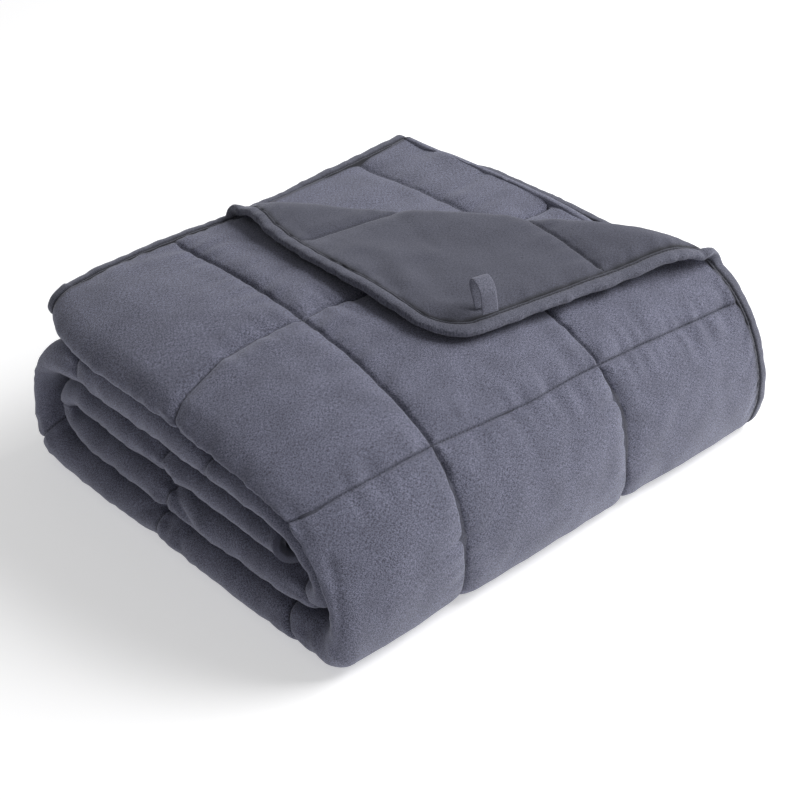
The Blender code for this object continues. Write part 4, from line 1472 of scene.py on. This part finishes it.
# ---- the sewing -----------------------------------------------------------------------------------
@dataclass
class Sewing:
    """Thread that shows on the seams: one short rounded stitch after another."""

    finish: ClothFinish
    pitch: float = 0.0032
    length: float = 0.0019
    width: float = 0.00095
    height: float = 0.0006
    tip: float = 0.35
    clear: float = 0.00012
    look_ahead: float = 0.0008
    slant: float = math.radians(13.0)

    def stitch(self) -> tuple[Array, Array]:
        """One stitch of unit size: three square rings along it, the outer two small.

        Returns:
            Points and corner numbers.
        """
        ring = np.array([[1.0, 0.0], [0.0, 1.0], [-1.0, 0.0], [0.0, -1.0]]) / 2.0
        stops = ((-0.5, self.tip), (0.0, 1.0), (0.5, self.tip))
        points = np.concatenate([np.c_[np.full(4, place), ring * size] for place, size in stops])
        corner, after = np.arange(4), np.roll(np.arange(4), -1)
        side = np.stack([corner, after, 4 + after, 4 + corner], -1)
        return points, np.concatenate([side, 4 + side, [[3, 2, 1, 0], [8, 9, 10, 11]]])

    def build(self, lines: list[SeamLine]) -> bpy.types.Object:
        """Lays the stitches along every line, on the surface and square to it.

        Args:
            lines: the sewn lines.

        Returns:
            The thread.
        """
        points, faces = self.stitch()
        gathered = MeshParts()
        for line in lines:
            first, last = line.places.min() / self.pitch, line.places.max() / self.pitch
            wanted = (np.arange(math.ceil(first), last - 1.0) + 0.5) * self.pitch
            if not wanted.size:
                continue
            at, up = line.read(line.points, wanted), unit(line.read(line.normals, wanted))
            after, before = (line.read(line.points, wanted + way * self.look_ahead) for way in (1.0, -1.0))
            ahead = after - before
            ahead = unit(ahead - up * np.sum(ahead * up, axis=1, keepdims=True))
            turned = ahead * math.cos(self.slant) + np.cross(up, ahead) * math.sin(self.slant)
            aside = np.cross(up, turned)
            axes = np.stack([turned * self.length, aside * self.width, up * self.height], 1)
            gathered.add_copies(points, faces, at + up * self.clear, axes, line.read(line.cloth, wanted))
        return gathered.build("stitching", self.finish)


# ---- the tie loop ---------------------------------------------------------------------------------
@dataclass
class TieLoop:
    """Ribbon loop sewn into the seam beside the turned corner."""

    folding: Folding
    finish: ClothFinish
    ribbon: float = 0.0122
    thickness: float = 0.0012
    height: float = 0.0265
    foot: float = 0.0042
    belly: float = 0.0064
    spot: Pair = (0.3945, 0.2625)
    seat: float = 0.0016
    turn: float = math.radians(78.0)
    lean: float = 0.20
    arch: float = 0.010
    roundness: Pair = (0.35, 0.6)

    def build(self) -> bpy.types.Object:
        """Makes the ribbon: a flat rounded section carried along the loop's path.

        The path goes up one side, over half an ellipse and down the other side.

        Returns:
            The loop.
        """
        seat = self.folding.sizes.flap_half + self.seat
        foot = self.folding.turned_place(*np.array([*self.spot, seat])[:, None])[0]
        angle = np.linspace(0.0, math.pi, 40)
        rise = self.height - self.thickness / 2.0 - self.arch + self.arch * np.sin(angle)
        over = np.stack([-self.belly * np.cos(angle), rise], -1)
        up = np.linspace(0.0, 1.0, 12)[:-1, None]
        feet = np.array([[-self.foot, self.thickness / 2.0], [self.foot, self.thickness / 2.0]])
        left, right = (low + (top - low) * up for low, top in zip(feet, over[[0, -1]]))
        path = np.concatenate([left, over, right[::-1]])
        ahead = unit(np.gradient(path, axis=0))
        normal = np.stack([-ahead[:, 1], ahead[:, 0]], -1)
        ring = np.linspace(0.0, 2.0 * math.pi, 20, endpoint=False)
        turns, halves = (np.cos(ring), np.sin(ring)), (self.ribbon / 2.0, self.thickness / 2.0)
        rows = zip(turns, self.roundness, halves)
        wide, thick = (np.sign(turn) * np.abs(turn) ** power * half for turn, power, half in rows)
        flat = path[None] + normal[None] * thick[:, None, None]
        across = wide[:, None] + self.lean * flat[..., 1]
        cos, sin = math.cos(self.turn), math.sin(self.turn)
        ribbon_way, side_way = np.array([cos, sin, 0.0]), np.array([-sin, cos, 0.0])
        placed = foot + flat[..., :1] * ribbon_way + across[..., None] * side_way
        placed[..., 2] += flat[..., 1]
        cloth = np.stack(np.broadcast_arrays(wide[:, None], lengths_along(path), 1.0), -1)
        gathered = MeshParts()
        gathered.add_tube(placed, cloth, 0.0)
        return gathered.build("ribbon_loop", self.finish)


# ---- the studio -----------------------------------------------------------------------------------
@dataclass
class Studio:
    """Pale floor, white world, one soft light and the camera at the photograph's angle."""

    azimuth: float = -42.77
    elevation: float = 33.63
    distance: float = 1.1825
    target: Triple = (0.1645, 0.1228, 0.0733)
    focal_px: float = 1765.0
    frame_px: float = 800.0
    sensor: float = 36.0
    floor_reach: float = 6.0
    floor_drop: float = 0.0003
    floor_glow: float = 0.44
    world_strength: float = 0.27
    key_place: Triple = (1.17, -0.66, 1.32)
    key_size: float = 1.2
    key_power: float = 41.0
    key_aim: Triple = (0.0, 0.0, 0.06)

    def floor(self) -> None:
        """Lays the pale floor, a large sheet just under the blanket."""
        mesh = bpy.data.meshes.new("floor")
        corners = np.array([[-1, -1, 0], [1, -1, 0], [1, 1, 0], [-1, 1, 0]]) * self.floor_reach
        mesh.from_pydata((corners - (0.0, 0.0, self.floor_drop)).tolist(), [], [(0, 1, 2, 3)])
        mesh.materials.append(Finish("pale_floor").dress({
            "Base Color": (0.80, 0.80, 0.805),
            "Emission Color": (1.0, 1.0, 1.0),
            "Emission Strength": self.floor_glow,
            "Roughness": 0.9,
        }))
        piece = in_scene("floor", mesh)

    def hang(self, name: str, data: bpy.types.ID, place: Array, way: Array) -> bpy.types.Object:
        """Adds a lamp or a camera at a place, facing a way."""
        piece = in_scene(name, data)
        piece.location = place
        piece.rotation_euler = Vector(way).to_track_quat("-Z", "Y").to_euler()
        return piece

    def key_light(self) -> None:
        """Hangs one soft square light that faces the blanket."""
        data = bpy.data.lights.new("key", "AREA")
        data.shape, data.size, data.energy = "SQUARE", self.key_size, self.key_power
        self.hang("key", data, self.key_place, np.array(self.key_aim) - np.array(self.key_place))

    def camera(self) -> None:
        """Sets the camera at its distance from the target, at the photograph's two angles."""
        data = bpy.data.cameras.new("camera")
        data.sensor_width = self.sensor
        data.lens = self.focal_px / self.frame_px * self.sensor
        data.clip_end = 50.0
        turn, rise = math.radians(self.azimuth), math.radians(self.elevation)
        back = np.array([math.sin(turn) * math.cos(rise), -math.cos(turn) * math.cos(rise), math.sin(rise)])
        place = np.array(self.target) + STAND + back * self.distance
        bpy.context.scene.camera = self.hang("camera", data, place, -back)

    def build(self) -> None:
        """Sets floor, world, lights and camera."""
        self.floor()
        world = bpy.data.worlds.new("soft_white")
        world.use_nodes = True
        background = world.node_tree.nodes["Background"].inputs
        background["Color"].default_value = (1.0, 1.0, 1.0, 1.0)
        background["Strength"].default_value = self.world_strength
        bpy.context.scene.world = world
        bpy.context.scene.view_settings.view_transform = "Standard"
        self.key_light()
        self.camera()


def main() -> None:
    logging.basicConfig(level=logging.INFO, format="%(name)s: %(message)s")
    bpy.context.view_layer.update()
    sizes = FoldSizes()
    folding = Folding(sizes, Course(sizes))
    cloth = ClothFinish("brushed_cloth", (0.043, 0.044, 0.066), (0.198, 0.204, 0.284), (0.030, 0.031, 0.046))
    edge = ClothFinish("binding_cloth_woven", (0.044, 0.045, 0.064), (0.126, 0.130, 0.174))
    ribbon = ClothFinish("ribbon_woven", (0.080, 0.082, 0.110), (0.185, 0.190, 0.250))
    thread = ClothFinish("sewing_thread", (0.020, 0.021, 0.032), (0.05, 0.052, 0.074))
    quilt, border = QuiltedSheet(folding, Quilting(sizes), cloth), EdgeBinding(folding, edge)
    sheet, binding = quilt.build(), border.build()
    loop = TieLoop(folding, ribbon).build()
    sewn = Sewing(thread).build(quilt.seams + border.seams)
    for piece, node, slot in (
        (sheet, "quilted_body", "quilted_cloth"),
        (binding, "edge_binding", "binding_cloth"),
        (loop, "tie_loop", "loop_ribbon"),
    ):
        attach(piece, "root")
        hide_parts(node)
        log.info("%s stands for %s", piece.name, node)
    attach(sewn, "root")
    Studio().build()
    log.info("all pieces are in place")


if __name__ == "__main__":
    main()
